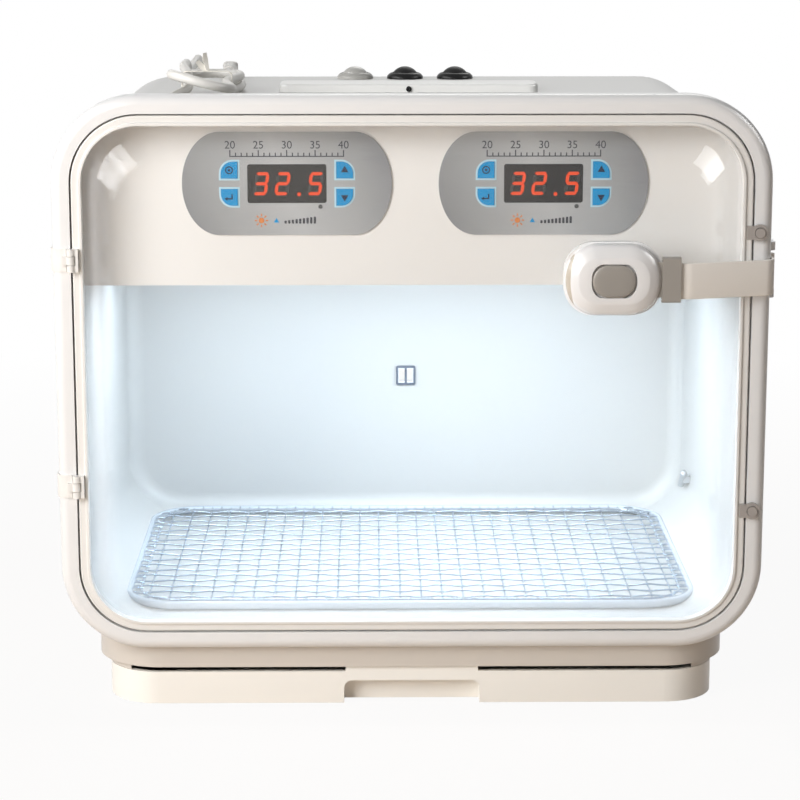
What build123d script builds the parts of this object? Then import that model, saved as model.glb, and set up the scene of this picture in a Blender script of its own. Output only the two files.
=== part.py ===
"""Bird brooder: a heated box with a clear hinged door, two temperature controllers
behind the door, a droppings drawer under the floor and its lead tied in a hank on top.

Millimetres. X runs to the right, Y to the back and Z up.
The origin lies under the middle of the base."""

import os
from math import cos, pi, radians, sin, tan

from build123d import *

# Front frame and shell
frame_width = 428
frame_height = 339
frame_corner = 52
frame_depth = 18
frame_edge = 6
frame_back_edge = 4
frame_band = 11
rebate_depth = 9
shell_depth = 300
shell_overhang = 11.5
shell_seat = 12
wall = 3
rear_round = 14

# Clearances
slip = 0.3
running = 0.05
key_slip = 0.3

# Base, plinth and drawer
base_width = 378
base_depth = 278
base_corner = 32
base_height = 25
base_floor = 2
plinth_side = 7
plinth_front = 2
plinth_corner = 42
plinth_face = 14
plinth_saddle = 12
plinth_rib_x = 90
plinth_lug = 15
drawer_face_low = 1
drawer_face_top = 21.4
drawer_wall_top = 20
drawer_tray_wall = 2
drawer_travel_room = 0.4
grip_width = 84
grip_top = 15.5
grip_depth = 10
grip_round = 5
drawer_tab_width = 82

# Door
door_gap = 1
door_set = 0.5
door_thickness = 8
door_band = 6
bead_width = 2
bead_rise = 1.2
bead_round = 1
window_thickness = 2
window_lip = 4
dome_rise = 9
dome_border = 18
dome_corner = 30
dome_round = 5

# Hinges and catches
hinge_offsets = (72, -66)
leaf_height = 14
leaf_thickness = 1.2
leaf_reach = 8.5
leaf_wrap = 12
knuckle_radius = 2.5
knuckle_stand = 2.8
frame_knuckle = 5
door_knuckle = 4
hinge_pin_radius = 0.8
catch_offsets = (88, -82)
catch_inset = 8
peg_radius = 3
peg_height = 4.5
clip_radius = 5
clip_height = 8
clip_thickness = 2.8
clip_stand = 0.6

# Strap lock
lock_inset = 96
lock_drop = 107
pad_thickness = 1
lock_width = 58
lock_height = 44
lock_corner = 18
lock_base_thickness = 3.5
cover_inset = 0.75
cover_height = 11
cover_wall = 2.2
cover_round = 4.5
button_width = 26
button_height = 19.5
button_corner = 9.5
button_proud = 1.2
button_flange = 1.5
button_flange_thickness = 1.4
tongue_thickness = 2
tongue_height = 21
tongue_reach = 12
buckle_width = 11
buckle_height = 27
buckle_thickness = 6
strap_width = 23
strap_thickness = 1.4
strap_corner = 7.5
strap_front_gap = 3
strap_side_gap = 0.3
anchor_pin_radius = 1.5
anchor_eye_radius = 4
anchor_plate = 4
anchor_length = 30
anchor_ear = 5
anchor_ear_gap = 0.4

# Controllers in the fascia
fascia_setback = 25
fascia_thickness = 3
fascia_drop = 105.3
controller_mid = 2
controller_spread = 77
controller_drop = 43.5
overlay_width = 126
overlay_height = 62
overlay_end = 22.5
overlay_thickness = 1
window_width = 47.5
window_height = 23.4
window_corner = 1.5
window_depth = 5
case_width = 96
case_height = 44
case_depth = 58
key_size = 10
key_corner = 7
key_x = 34.6
key_z = 8.2
key_proud = 0.6
key_thickness = 2.2
key_pocket = 1

# Heating tray behind the fascia
tray_thickness = 2.5
heater_x = 105
heater_y = 40
heater_size = (60, 40, 22)
heater_fins = 8
heater_fin_gap = 4
fan_size = 60
fan_thickness = 15
fan_bore = 28.5
fan_hub_radius = 12
fan_hub_height = 8
fan_bearing = 4
fan_blades = 7
fan_blade_reach = 27
fan_blade_pitch = 35
fan_shaft_radius = 1.5
supply_size = (110, 64, 36)
supply_y = 45
led_length = 330
led_width = 12
led_base = 3
led_ys = (-62, 30)
slot_width = 4
slot_length = 40
slot_pitch = 9

# Chamber
vent_size = 14
vent_rise = 98
vent_hole = 11
vent_slot = 4
probe_back = 55
probe_rise = 34
probe_radius = 2.4
probe_length = 22
probe_tilt = 38
probe_clip = 9
probe_stand = 2.6
mat_side_gap = 18
mat_front_gap = 23
mat_back_gap = 15.5
mat_corner = 25
mat_rim = 7
mat_height = 8
mesh_wire = 2
mesh_low = 3.5
mesh_columns = 20
mesh_rows = 15

# Top cover and switches
cover_width = 168
cover_depth = 30
cover_top_height = 5.5
cover_corner = 6
cover_y = 20
cover_skin = 2
inlet_slots = 5
inlet_pitch = 5
cover_slot_low = 1
cover_slot_high = 3
grommet_radius = 1.8
grommet_neck = 1.3
grommet_bore = 0.8
grommet_z = 2.1
switch_xs = (-35.5, -1, 33.5)
switch_back = 29
switch_flange_radius = 12.5
switch_flange = 4.5
switch_barrel_radius = 10
switch_barrel = 16
switch_well_depth = 4
cap_radius = 8.6
cap_travel = 2.7
cap_height = 10
cap_round = 5.5
stem_radius = 3
stem_length = 12

# Lead, hank and plug
cord_diameter = 6
gland_x = -122
gland_back = 23
gland_rise = 6
gland_length = 24
gland_wide = 5.2
gland_narrow = 3.9
gland_flange_radius = 8
gland_flange = 2
hank_x = -127
hank_y = -48
hank_run = 110
hank_strands = 4
hank_half = 18
hank_draw = 6
hank_lift = 1.2
layer_rise = 6.6
tail_bend = 40
edge_reach = 24
edge_crest = 13.5
plug_drop = 200.5
tie_width = 4
tie_thickness = 0.8
tie_slack = 0.2
tie_tails = ((1, 13, -8), (0, 9, -38))
plug_size = (24, 18, 34)
plug_relief = 22
plug_pin = (1.5, 6.3, 16.5)
plug_pin_spacing = 12.7

# Places that follow from the sizes above
front = -shell_depth / 2
back = shell_depth / 2
frame_low = base_height + plinth_face
frame_mid = frame_low + frame_height / 2
frame_back = front + frame_depth
shell_front = front + shell_seat
shell_split = back - rear_round
shell_low = frame_low + shell_overhang
shell_top = frame_low + frame_height - shell_overhang
shell_half = frame_width / 2 - shell_overhang
shell_corner = frame_corner - shell_overhang
opening_inset = shell_overhang + wall
chamber_half = frame_width / 2 - opening_inset
chamber_floor = frame_low + opening_inset
chamber_back = back - wall
mat_width = 2 * (chamber_half - mat_side_gap)
mat_depth = chamber_back - mat_back_gap - shell_front - mat_front_gap
mat_y = shell_front + mat_front_gap + mat_depth / 2
vent_z = chamber_floor + vent_rise
probe_y = chamber_back - probe_back
probe_z = chamber_floor + probe_rise
fascia_low = shell_top - fascia_drop
controller_z = shell_top - controller_drop
switch_y = back - switch_back
gland_y = back - gland_back
gland_mouth = gland_y - gland_length
gland_z = shell_top + gland_rise
lock_x = frame_width / 2 - lock_inset
lock_z = frame_low + frame_height - lock_drop
hinge_zs = [frame_mid + offset for offset in hinge_offsets]
catch_zs = [frame_mid + offset for offset in catch_offsets]
door_inset = frame_band + door_gap
door_inner_inset = door_inset + door_band
door_front = front + door_set
door_back = door_front + door_thickness
hinge_x = -(frame_width / 2 - frame_band - door_gap / 2)
hinge_y = front - knuckle_stand
dome_front = front - dome_rise
fascia_front = front + fascia_setback
fascia_back = fascia_front + fascia_thickness
tray_top = fascia_low + tray_thickness
plinth_width = base_width + 2 * plinth_side
plinth_depth = base_depth + 2 * plinth_front
drawer_face_front = -base_depth / 2
drawer_split = drawer_face_front + base_corner
heater_xs = (-heater_x, heater_x)
controller_xs = (controller_mid - controller_spread, controller_mid + controller_spread)
hank_low = shell_top + hank_lift + cord_diameter / 2
hank_rear = hank_y + hank_run / 2
hank_front = hank_y - hank_run / 2


def slab(width, height, corner, y_front, y_back, x=0, z=0):
    """Upright rounded plate, drawn from y_front back to y_back."""
    plane = Plane((x, y_front, z), x_dir=(1, 0, 0), z_dir=(0, -1, 0))
    return extrude(plane * RectangleRounded(width, height, corner), amount=y_front - y_back)


def deck(width, depth, corner, z_low, z_high, x=0, y=0):
    """Level rounded plate, drawn up from z_low to z_high."""
    face = Pos(x, y, z_low) * RectangleRounded(width, depth, corner)
    return extrude(face, amount=z_high - z_low)


def block(x0, x1, y0, y1, z0, z1):
    """Plain block between two corners."""
    centre = Pos((x0 + x1) / 2, (y0 + y1) / 2, (z0 + z1) / 2)
    return centre * Box(abs(x1 - x0), abs(y1 - y0), abs(z1 - z0))


def post(x, y, z_low, z_high, radius):
    """Upright round bar."""
    return Pos(x, y, (z_low + z_high) / 2) * Cylinder(radius, z_high - z_low)


def stud(x, z, y_front, y_back, radius):
    """Round bar that points forwards."""
    return Pos(x, (y_front + y_back) / 2, z) * Rot(X=90) * Cylinder(radius, y_back - y_front)


def frame_slab(inset, y_front, y_back):
    """The front frame's outline, drawn in by inset."""
    width = frame_width - 2 * inset
    height = frame_height - 2 * inset
    return slab(width, height, frame_corner - inset, y_front, y_back, z=frame_mid)


def shell_block(inset, y_front, y_back):
    """The shell's outside, drawn in by inset, with its rear edge rounded."""
    body = frame_slab(shell_overhang + inset, y_front, y_back)
    return fillet(body.edges().group_by(Axis.Y)[-1], rear_round - inset)


def frame_block(grow):
    """The front frame's outside, grown by a skin, with its edges rounded."""
    body = frame_slab(-grow, front - grow, frame_back)
    body = fillet(body.edges().group_by(Axis.Y)[0], frame_edge + grow)
    return fillet(body.edges().group_by(Axis.Y)[-1], frame_back_edge)


def body_shell():
    """The box's four walls, open at both ends."""
    shell = frame_slab(shell_overhang, shell_front, shell_split)
    shell -= frame_slab(opening_inset, shell_front, shell_split)
    for x in switch_xs:
        shell -= post(x, switch_y, shell_top - 2 * wall, shell_top + wall, switch_barrel_radius + running)
    for i in range(inlet_slots):
        y = cover_y + (i - (inlet_slots - 1) / 2) * inlet_pitch
        shell -= deck(2 * slot_length, slot_width, 0.4 * slot_width, shell_top - 2 * wall, shell_top + wall, y=y)
    return shell - post(gland_x, gland_y, shell_top - 2 * wall, shell_top + wall, gland_wide - 1)


def shell_back():
    """The box's rear wall, with the rounded edge that meets the four walls."""
    dish = shell_block(0, shell_front, back) - shell_block(wall, shell_front, back - wall)
    half = frame_width / 2
    dish &= block(-half, half, shell_split, back, frame_low, frame_low + frame_height)
    return dish - slab(vent_hole, vent_hole, window_corner, back - 2 * wall, back + wall, z=vent_z)


def front_frame():
    body = frame_block(0)
    body -= frame_slab(frame_band, front, front + rebate_depth)
    body -= frame_slab(opening_inset, front, frame_back)
    return body - frame_slab(shell_overhang, shell_front, frame_back)


def plinth():
    top = shell_low + plinth_saddle
    body = deck(plinth_width, plinth_depth, plinth_corner, base_height, top)
    inner_width = plinth_width - 2 * wall
    inner_depth = plinth_depth - 2 * wall
    body -= deck(inner_width, inner_depth, plinth_corner - wall, base_height + wall, top)
    for x in (-plinth_rib_x, plinth_rib_x):
        body += block(x - wall / 2, x + wall / 2, -inner_depth / 2, inner_depth / 2, base_height, shell_low)
    body -= shell_block(0, shell_front, back) + frame_slab(0, front, frame_back)
    lug_low = drawer_face_top + slip
    lugs = base_outline(0, lug_low, base_height) - base_outline(wall, lug_low, base_height)
    half = base_width / 2
    for x in (-half, half - plinth_lug):
        body += lugs & block(x, x + plinth_lug, drawer_face_front, drawer_split, lug_low, base_height)
    return body


def base_outline(inset, z_low, z_high):
    return deck(base_width - 2 * inset, base_depth - 2 * inset, base_corner - inset, z_low, z_high)


def base_pan():
    pan = base_outline(0, 0, base_height) - base_outline(wall, base_floor, base_height)
    half = base_width / 2
    return pan - block(-half, half, drawer_face_front, drawer_split + slip, 0, base_height)


def drawer():
    inset = wall + slip
    half = base_width / 2
    face = base_outline(0, drawer_face_low, drawer_face_top)
    face -= base_outline(inset, drawer_face_low, drawer_face_top)
    face &= block(-half, half, drawer_face_front, drawer_split, 0, base_height)
    floor = base_floor + drawer_travel_room
    tray = base_outline(inset, floor, drawer_wall_top)
    tray -= base_outline(inset + drawer_tray_wall, floor + drawer_tray_wall, drawer_wall_top)
    pocket_back = drawer_face_front + grip_depth
    pocket = slab(
        grip_width + 2 * wall,
        2 * (grip_top + wall),
        grip_round + wall,
        drawer_face_front + inset,
        pocket_back + wall,
    )
    pocket &= block(-half, half, drawer_face_front, drawer_split + wall, drawer_face_low, base_height)
    tab = block(
        -drawer_tab_width / 2,
        drawer_tab_width / 2,
        drawer_face_front,
        drawer_face_front + inset,
        drawer_face_top,
        base_height - slip,
    )
    grip = slab(grip_width, 2 * grip_top, grip_round, drawer_face_front, pocket_back)
    return face + tray + pocket + tab - grip


def mat_frame():
    floor = chamber_floor
    rim = deck(mat_width, mat_depth, mat_corner, floor, floor + mat_height, y=mat_y)
    rim -= deck(mat_width - 2 * mat_rim, mat_depth - 2 * mat_rim, mat_corner - mat_rim, floor, floor + mat_height, y=mat_y)
    groove = deck(mat_width - mat_rim, mat_depth - mat_rim, mat_corner - mat_rim / 2, mesh_z, mesh_z + mesh_wire, y=mat_y)
    rim = fillet(rim.edges().group_by(Axis.Z)[-1], mat_rim / 3)
    return (rim - groove) & shell_block(wall + slip, shell_front, back - wall - slip)


def mat_mesh():
    width = mat_width - mat_rim
    depth = mat_depth - mat_rim
    sheet = Pos(0, mat_y, mesh_z) * RectangleRounded(width, depth, mat_corner - mat_rim / 2)
    pitch_x = (mat_width - 2 * mat_rim - mesh_wire) / mesh_columns
    pitch_y = (mat_depth - 2 * mat_rim - mesh_wire) / mesh_rows
    gap = Rectangle(pitch_x - mesh_wire, pitch_y - mesh_wire)
    inside = RectangleRounded(width - mat_rim, depth - mat_rim, mat_corner - mat_rim)
    gaps = GridLocations(pitch_x, pitch_y, mesh_columns, mesh_rows) * gap
    gaps = Sketch() + [g & inside for g in gaps]
    mesh = extrude(sheet - Pos(0, mat_y, mesh_z) * gaps, amount=mesh_wire)
    return mesh & shell_block(wall + slip, shell_front, back - wall - slip)


def door_frame():
    ring = frame_slab(door_inset, door_front, door_back)
    bead_inset = door_inner_inset - bead_width
    bead = frame_slab(bead_inset, door_front - bead_rise, door_front)
    bead = fillet(bead.edges().group_by(Axis.Y)[0], bead_round)
    ring = fillet(ring.edges().group_by(Axis.Y)[0], door_gap) + bead
    ring -= frame_slab(door_inner_inset, door_front - bead_rise, door_back)
    seat = door_back - window_thickness - slip
    return ring - frame_slab(door_inner_inset - window_lip, seat, door_back)


def dome_form(inset, y_front, y_back, edge):
    """Solid of the bulged window, from its flange plane to its flat front."""
    def outline(border, corner, y):
        plane = Plane((0, y, frame_mid), x_dir=(1, 0, 0), z_dir=(0, -1, 0))
        return plane * RectangleRounded(frame_width - 2 * border, frame_height - 2 * border, corner)

    foot = door_inner_inset + slip + inset
    head = door_inner_inset + dome_border + inset
    form = loft([outline(foot, frame_corner - foot, y_back), outline(head, dome_corner - inset, y_front)], ruled=True)
    return fillet(form.edges().group_by(Axis.Y)[0], edge)


def door_window():
    flange_front = door_back - window_thickness
    lip = frame_slab(door_inner_inset - window_lip + slip, flange_front, door_back)
    lip -= frame_slab(door_inner_inset + window_thickness, flange_front, door_back)
    outer = dome_form(0, dome_front, door_back, dome_round)
    inner = dome_form(window_thickness, dome_front + window_thickness, door_back, dome_round - window_thickness)
    return lip + (outer - inner)


def frame_hinge_leaves():
    leaves = Part()
    skin = frame_block(leaf_thickness) - frame_block(0)
    edge = -frame_width / 2
    for z in hinge_zs:
        reach = block(
            edge - leaf_thickness,
            edge + leaf_reach,
            front - leaf_thickness,
            front + leaf_wrap,
            z - leaf_height / 2,
            z + leaf_height / 2,
        )
        low = z - frame_knuckle / 2
        high = z + frame_knuckle / 2
        leaf = (skin & reach) + post(hinge_x, hinge_y, low, high, knuckle_radius)
        leaf += block(edge + leaf_reach - knuckle_radius, hinge_x, hinge_y - 1, hinge_y + knuckle_radius, low, high)
        leaves += leaf - post(hinge_x, hinge_y, low, high, hinge_pin_radius)
    return leaves


def door_hinge_leaves():
    leaves = Part()
    bead_edge = -(frame_width / 2 - door_inner_inset + bead_width)
    inner = bead_edge - slip / 2
    spine = hinge_x + knuckle_radius + slip
    middle = frame_knuckle / 2 + slip
    for z in hinge_zs:
        leaf = block(spine, inner, hinge_y - 1, door_front, z - middle - door_knuckle, z + middle + door_knuckle)
        for low in (z - middle - door_knuckle, z + middle):
            high = low + door_knuckle
            leaf += block(hinge_x, inner, hinge_y - 1, door_front - slip, low, high)
            leaf += post(hinge_x, hinge_y, low, high, knuckle_radius)
            leaf -= post(hinge_x, hinge_y, low, high, hinge_pin_radius + running)
        leaves += leaf
    return leaves


def hinge_pins():
    pins = Part()
    half = frame_knuckle / 2 + slip + door_knuckle
    for z in hinge_zs:
        pins += post(hinge_x, hinge_y, z - half, z + half, hinge_pin_radius)
    return pins


def catch_pegs():
    pegs = Part()
    for z in catch_zs:
        pegs += stud(frame_width / 2 - catch_inset, z, front - peg_height, front + peg_radius, peg_radius)
    return pegs - frame_block(0)


def catch_clips():
    clips = Part()
    peg_x = frame_width / 2 - catch_inset
    foot = frame_width / 2 - door_inner_inset + bead_width + slip
    y_front = front - clip_stand - clip_thickness
    y_back = front - clip_stand
    for z in catch_zs:
        low = z - clip_height / 2
        high = z + clip_height / 2
        clip = block(foot, peg_x, y_front, y_back, low, high)
        clip += stud(peg_x, z, y_front, y_back, clip_radius)
        clip += block(foot, frame_width / 2 - door_inset - slip, y_front, door_front, low, high)
        clips += clip - stud(peg_x, z, y_front, y_back, peg_radius + slip)
    return clips


def lock_pad():
    margin = 2 * lock_base_thickness
    return slab(
        lock_width - margin,
        lock_height - margin,
        lock_corner - margin / 2,
        dome_front - pad_thickness,
        dome_front,
        lock_x,
        lock_z,
    )


def lock_base():
    return slab(lock_width, lock_height, lock_corner, base_face, dome_front - pad_thickness, lock_x, lock_z)


def lock_cover():
    def outline(inset, y_front, y_back):
        width = lock_width - 2 * inset
        height = lock_height - 2 * inset
        return slab(width, height, lock_corner - inset, y_front, y_back, lock_x, lock_z)

    shell = outline(cover_inset, cover_face, base_face)
    shell = fillet(shell.edges().group_by(Axis.Y)[0], cover_round)
    shell -= outline(cover_inset + cover_wall, cover_face + cover_wall, base_face)
    shell -= slab(
        button_width + 2 * slip,
        button_height + 2 * slip,
        button_corner + slip,
        cover_face,
        cover_face + cover_wall,
        lock_x,
        lock_z,
    )
    slot_half = tongue_height / 2 + slip
    slot = block(
        lock_x + lock_width / 2 - 2 * cover_round,
        lock_x + lock_width / 2,
        strap_y - tongue_thickness / 2 - slip,
        strap_y + tongue_thickness / 2 + slip,
        lock_z - slot_half,
        lock_z + slot_half,
    )
    return shell - slot


def lock_button():
    flange_front = cover_face + cover_wall + slip
    flange_back = flange_front + button_flange_thickness
    head = slab(
        button_width, button_height, button_corner, cover_face - button_proud, flange_back, lock_x, lock_z
    )
    head = fillet(head.edges().group_by(Axis.Y)[0], button_proud)
    grow = 2 * (button_flange + slip)
    flange = slab(
        button_width + grow,
        button_height + grow,
        button_corner + button_flange + slip,
        flange_front,
        flange_back,
        lock_x,
        lock_z,
    )
    return head + flange


def strap_buckle():
    half = buckle_height / 2
    body = block(
        buckle_left,
        buckle_left + buckle_width,
        strap_y - buckle_thickness / 2,
        strap_y + buckle_thickness / 2,
        lock_z - half,
        lock_z + half,
    )
    body = fillet(body.edges().filter_by(Axis.X), buckle_thickness / 4)
    tongue = block(
        buckle_left - tongue_reach,
        buckle_left,
        strap_y - tongue_thickness / 2,
        strap_y + tongue_thickness / 2,
        lock_z - tongue_height / 2,
        lock_z + tongue_height / 2,
    )
    return body + tongue


def strap_band():
    """Soft band round the frame's right edge, with an eye on the anchor's pin."""
    path = FilletPolyline(
        (buckle_left + buckle_width, strap_y, lock_z),
        (buckle_left + 1.5 * buckle_width, strap_y, lock_z),
        (strap_x, front - strap_front_gap - strap_thickness / 2, lock_z),
        (strap_x, anchor_y - anchor_eye_radius + strap_thickness / 2, lock_z),
        radius=[2 * strap_corner, strap_corner],
    )
    start = Plane(origin=path @ 0, x_dir=(0, 0, 1), z_dir=path % 0)
    band = sweep(start * Rectangle(strap_width, strap_thickness), path=path)
    low = lock_z - strap_width / 2
    high = lock_z + strap_width / 2
    band += post(strap_x, anchor_y, low, high, anchor_eye_radius)
    return band - post(strap_x, anchor_y, low, high, anchor_pin_radius + running)


def anchor_pad():
    half = anchor_half - pad_thickness
    inset = pad_thickness
    return block(
        shell_half,
        shell_half + pad_thickness,
        anchor_front + inset,
        anchor_front + anchor_length - inset,
        lock_z - half,
        lock_z + half,
    )


def anchor_base():
    foot = shell_half + pad_thickness
    ear_half = anchor_eye_radius + slip
    plate = block(
        foot, foot + anchor_plate, anchor_front, anchor_front + anchor_length, lock_z - anchor_half, lock_z + anchor_half
    )
    plate = fillet(plate.edges().filter_by(Axis.X), anchor_plate)
    for low in (lock_z - anchor_half, lock_z + anchor_half - anchor_ear):
        high = low + anchor_ear
        ear = block(foot + anchor_plate / 2, strap_x, anchor_y - ear_half, anchor_y + ear_half, low, high)
        plate += ear + post(strap_x, anchor_y, low, high, ear_half)
    return plate - post(strap_x, anchor_y, lock_z - anchor_half, lock_z + anchor_half, anchor_pin_radius)


def anchor_pin():
    head = anchor_pin_radius
    pin = post(strap_x, anchor_y, lock_z - anchor_half, lock_z + anchor_half + head, anchor_pin_radius)
    return pin + post(strap_x, anchor_y, lock_z + anchor_half, lock_z + anchor_half + head, 2 * anchor_pin_radius)


def fascia_panel():
    panel = frame_slab(opening_inset + slip, fascia_front, fascia_back)
    panel &= block(-chamber_half, chamber_half, fascia_front, fascia_back, fascia_low, shell_top)
    for x in controller_xs:
        panel -= slab(case_width, case_height, key_corner, fascia_front, fascia_back, x, controller_z)
    return panel


def electrics_tray():
    half = chamber_half - slip
    tray = block(-half, half, fascia_back, back - wall - slip, fascia_low, tray_top)
    corners = tray.edges().filter_by(Axis.Z).group_by(Axis.Y)[-1]
    tray = fillet(corners, rear_round)
    slot = Box(slot_length, slot_width, 3 * tray_thickness)
    for x in (*heater_xs, 0):
        y = heater_y if x else -slot_length
        for place in GridLocations(0, slot_pitch, 1, 4):
            tray -= Pos(x, y, fascia_low) * place * slot
    return tray


def overlay_face(x, y):
    """Face plate outline: straight long sides and rounded ends."""
    half_w = overlay_width / 2
    half_h = overlay_height / 2
    flat = half_w - overlay_end
    outline = Polyline((-flat, half_h), (flat, half_h))
    outline += EllipticalCenterArc((flat, 0), overlay_end, half_h, start_angle=-90, arc_size=180)
    outline += Polyline((flat, -half_h), (-flat, -half_h))
    outline += EllipticalCenterArc((-flat, 0), overlay_end, half_h, start_angle=90, arc_size=180)
    plane = Plane((x, y, controller_z), x_dir=(1, 0, 0), z_dir=(0, -1, 0))
    return plane * make_face(outline)


def key_form(grow, right, up):
    """Square key with its outer corner rounded off."""
    side = key_size + 2 * grow
    face = Rectangle(side, side)
    corner = face.vertices().sort_by(lambda v: right * v.X + up * v.Y)[-1]
    return fillet(corner, key_corner + grow)


def key_solid(x, right, up, grow, y_front, y_back):
    plane = Plane((x + right * key_x, y_front, controller_z + up * key_z), x_dir=(1, 0, 0), z_dir=(0, -1, 0))
    return extrude(plane * key_form(grow, right, up), amount=y_front - y_back)


def overlay(x):
    plate = extrude(overlay_face(x, fascia_front - overlay_thickness), amount=-overlay_thickness)
    plate -= slab(
        window_width, window_height, window_corner, fascia_front - overlay_thickness, fascia_front, x, controller_z
    )
    for right, up in key_places.values():
        plate -= key_solid(x, right, up, key_slip, fascia_front - overlay_thickness, fascia_front)
    return plate


def controller_case(x):
    case = slab(case_width, case_height, key_corner, fascia_front, fascia_front + case_depth, x, controller_z)
    floor = fascia_front - overlay_thickness + window_depth
    case -= slab(window_width, window_height, window_corner, fascia_front, floor, x, controller_z)
    pocket = key_front + key_thickness + key_pocket
    for right, up in key_places.values():
        case -= key_solid(x, right, up, key_slip, fascia_front, pocket)
    return case


def display_windows():
    lenses = Part()
    y_front = fascia_front - overlay_thickness
    for x in controller_xs:
        lenses += slab(
            window_width, window_height, window_corner, y_front, y_front + window_depth, x, controller_z
        )
    return lenses


def heater(x):
    length, depth, height = heater_size
    body = Pos(x, heater_y, tray_top + height / 2) * Box(length, depth, height)
    fin = Box(heater_fin_gap, depth - 2 * heater_fin_gap, height)
    for place in GridLocations((length - heater_fin_gap) / heater_fins, 0, heater_fins, 1):
        body -= Pos(x, heater_y, tray_top + height / 2) * place * fin
    return body


def fan_frame(x):
    low = tray_top + heater_size[2]
    frame = deck(fan_size, fan_size, fan_bearing, low, low + fan_thickness, x, heater_y)
    frame -= post(x, heater_y, low, low + fan_thickness, fan_bore)
    frame += post(x, heater_y, low, low + fan_bearing, fan_hub_radius)
    for turn in range(3):
        arm = Pos(fan_bore / 2 + slip, 0, fan_bearing / 2) * Box(fan_bore, fan_bearing, fan_bearing)
        frame += Pos(x, heater_y, low) * Rot(Z=90 + 120 * turn) * arm
    return frame - post(x, heater_y, low, low + fan_bearing, fan_shaft_radius + running)


def fan_impeller(x):
    low = tray_top + heater_size[2]
    hub_low = low + fan_bearing + slip
    body = post(x, heater_y, hub_low, hub_low + fan_hub_height, fan_hub_radius)
    body += post(x, heater_y, low, hub_low, fan_shaft_radius)
    span = fan_blade_reach - fan_hub_radius + 1
    middle = (fan_blade_reach + fan_hub_radius - 1) / 2
    blade = Pos(middle, 0, fan_hub_height / 2) * Rot(X=fan_blade_pitch) * Box(span, fan_hub_height + 1, 1.5)
    for i in range(fan_blades):
        body += Pos(x, heater_y, hub_low) * Rot(Z=360 / fan_blades * i) * blade
    return body


def power_supply():
    length, depth, height = supply_size
    body = Pos(0, supply_y, tray_top + height / 2) * Box(length, depth, height)
    body = fillet(body.edges().filter_by(Axis.Z), wall)
    feet = Pos(0, supply_y, tray_top + wall / 2) * Box(length + 6 * wall, depth / 3, wall)
    return body + feet


def led_bars():
    bars = Part()
    radius = led_width / 2
    for y in led_ys:
        base = block(-led_length / 2, led_length / 2, y - radius, y + radius, fascia_low - led_base, fascia_low)
        lens = Pos(0, y, fascia_low - led_base) * Rot(Y=90) * Cylinder(radius, led_length)
        below = fascia_low - led_base - radius
        lens &= block(-led_length / 2, led_length / 2, y - radius, y + radius, below, fascia_low - led_base)
        bars += base + lens
    return bars


def temperature_probe():
    reach = probe_radius + probe_stand
    centre = Pos(chamber_half - reach, probe_y, probe_z)
    bulb = Cylinder(probe_radius, probe_length)
    bulb = fillet(bulb.edges(), 0.9 * probe_radius)
    clip = Pos(reach / 2, 0, 0) * Box(reach, probe_clip, probe_clip / 2)
    probe = centre * Rot(X=90 - probe_tilt) * bulb + centre * clip
    return probe & shell_block(wall, shell_front, back - wall)


def rear_vent():
    inner = back - wall
    body = slab(vent_size, vent_size, window_corner, inner - 1.5, inner, z=vent_z)
    body += slab(vent_hole, vent_hole, window_corner, inner, back, z=vent_z)
    for x in (-0.7 * vent_slot, 0.7 * vent_slot):
        body -= block(x - vent_slot / 2, x + vent_slot / 2, inner - 2, back, vent_z - vent_slot, vent_z + vent_slot)
    return body


def top_cover():
    top = shell_top + cover_top_height
    hood = deck(cover_width, cover_depth, cover_corner, shell_top, top, y=cover_y)
    hood = fillet(hood.edges().group_by(Axis.Z)[-1], cover_skin)
    skin = 2 * cover_skin
    hood -= deck(
        cover_width - skin, cover_depth - skin, cover_corner - cover_skin, shell_top, top - cover_skin, y=cover_y
    )
    rear = cover_y + cover_depth / 2
    for i in range(inlet_slots):
        x = (i - (inlet_slots - 1) / 2) * 0.6 * slot_length
        hood -= block(
            x - slot_length / 4,
            x + slot_length / 4,
            rear - skin,
            rear,
            shell_top + cover_slot_low,
            shell_top + cover_slot_high,
        )
    return hood - stud(0, shell_top + grommet_z, cover_front, cover_front + skin, grommet_neck)


def cover_grommet():
    z = shell_top + grommet_z
    ring = stud(0, z, cover_front - 1, cover_front, grommet_radius)
    ring += stud(0, z, cover_front, cover_front + cover_skin + 1, grommet_neck)
    return ring - stud(0, z, cover_front - 1, cover_front + cover_skin + 1, grommet_bore)


def switch_bezels():
    bezels = Part()
    for x in switch_xs:
        bezel = post(x, switch_y, shell_top, shell_top + switch_flange, switch_flange_radius)
        bezel = fillet(bezel.edges().group_by(Axis.Z)[-1], switch_flange / 2)
        bezel += post(x, switch_y, shell_top - switch_barrel, shell_top, switch_barrel_radius)
        well = shell_top + switch_flange - switch_well_depth
        bezel -= post(x, switch_y, well, shell_top + switch_flange, cap_radius + slip)
        bezels += bezel - post(x, switch_y, shell_top - switch_barrel, well, stem_radius + slip)
    return bezels


def switch_cap(x):
    skirt_low = shell_top + switch_flange - switch_well_depth + cap_travel + slip
    dome = post(x, switch_y, skirt_low, shell_top + cap_height, cap_radius)
    dome = fillet(dome.edges().group_by(Axis.Z)[-1], cap_round)
    return dome + post(x, switch_y, skirt_low - stem_length, skirt_low, stem_radius)


def cord_radii(points):
    """Largest tangent arc that the runs on both sides of each corner allow."""
    radii = []
    for a, b, c in zip(points, points[1:], points[2:]):
        before = Vector(*b) - Vector(*a)
        after = Vector(*c) - Vector(*b)
        turn = radians(before.get_angle(after))
        radii.append(0.45 * min(before.length, after.length) / tan(turn / 2))
    return radii


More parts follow.
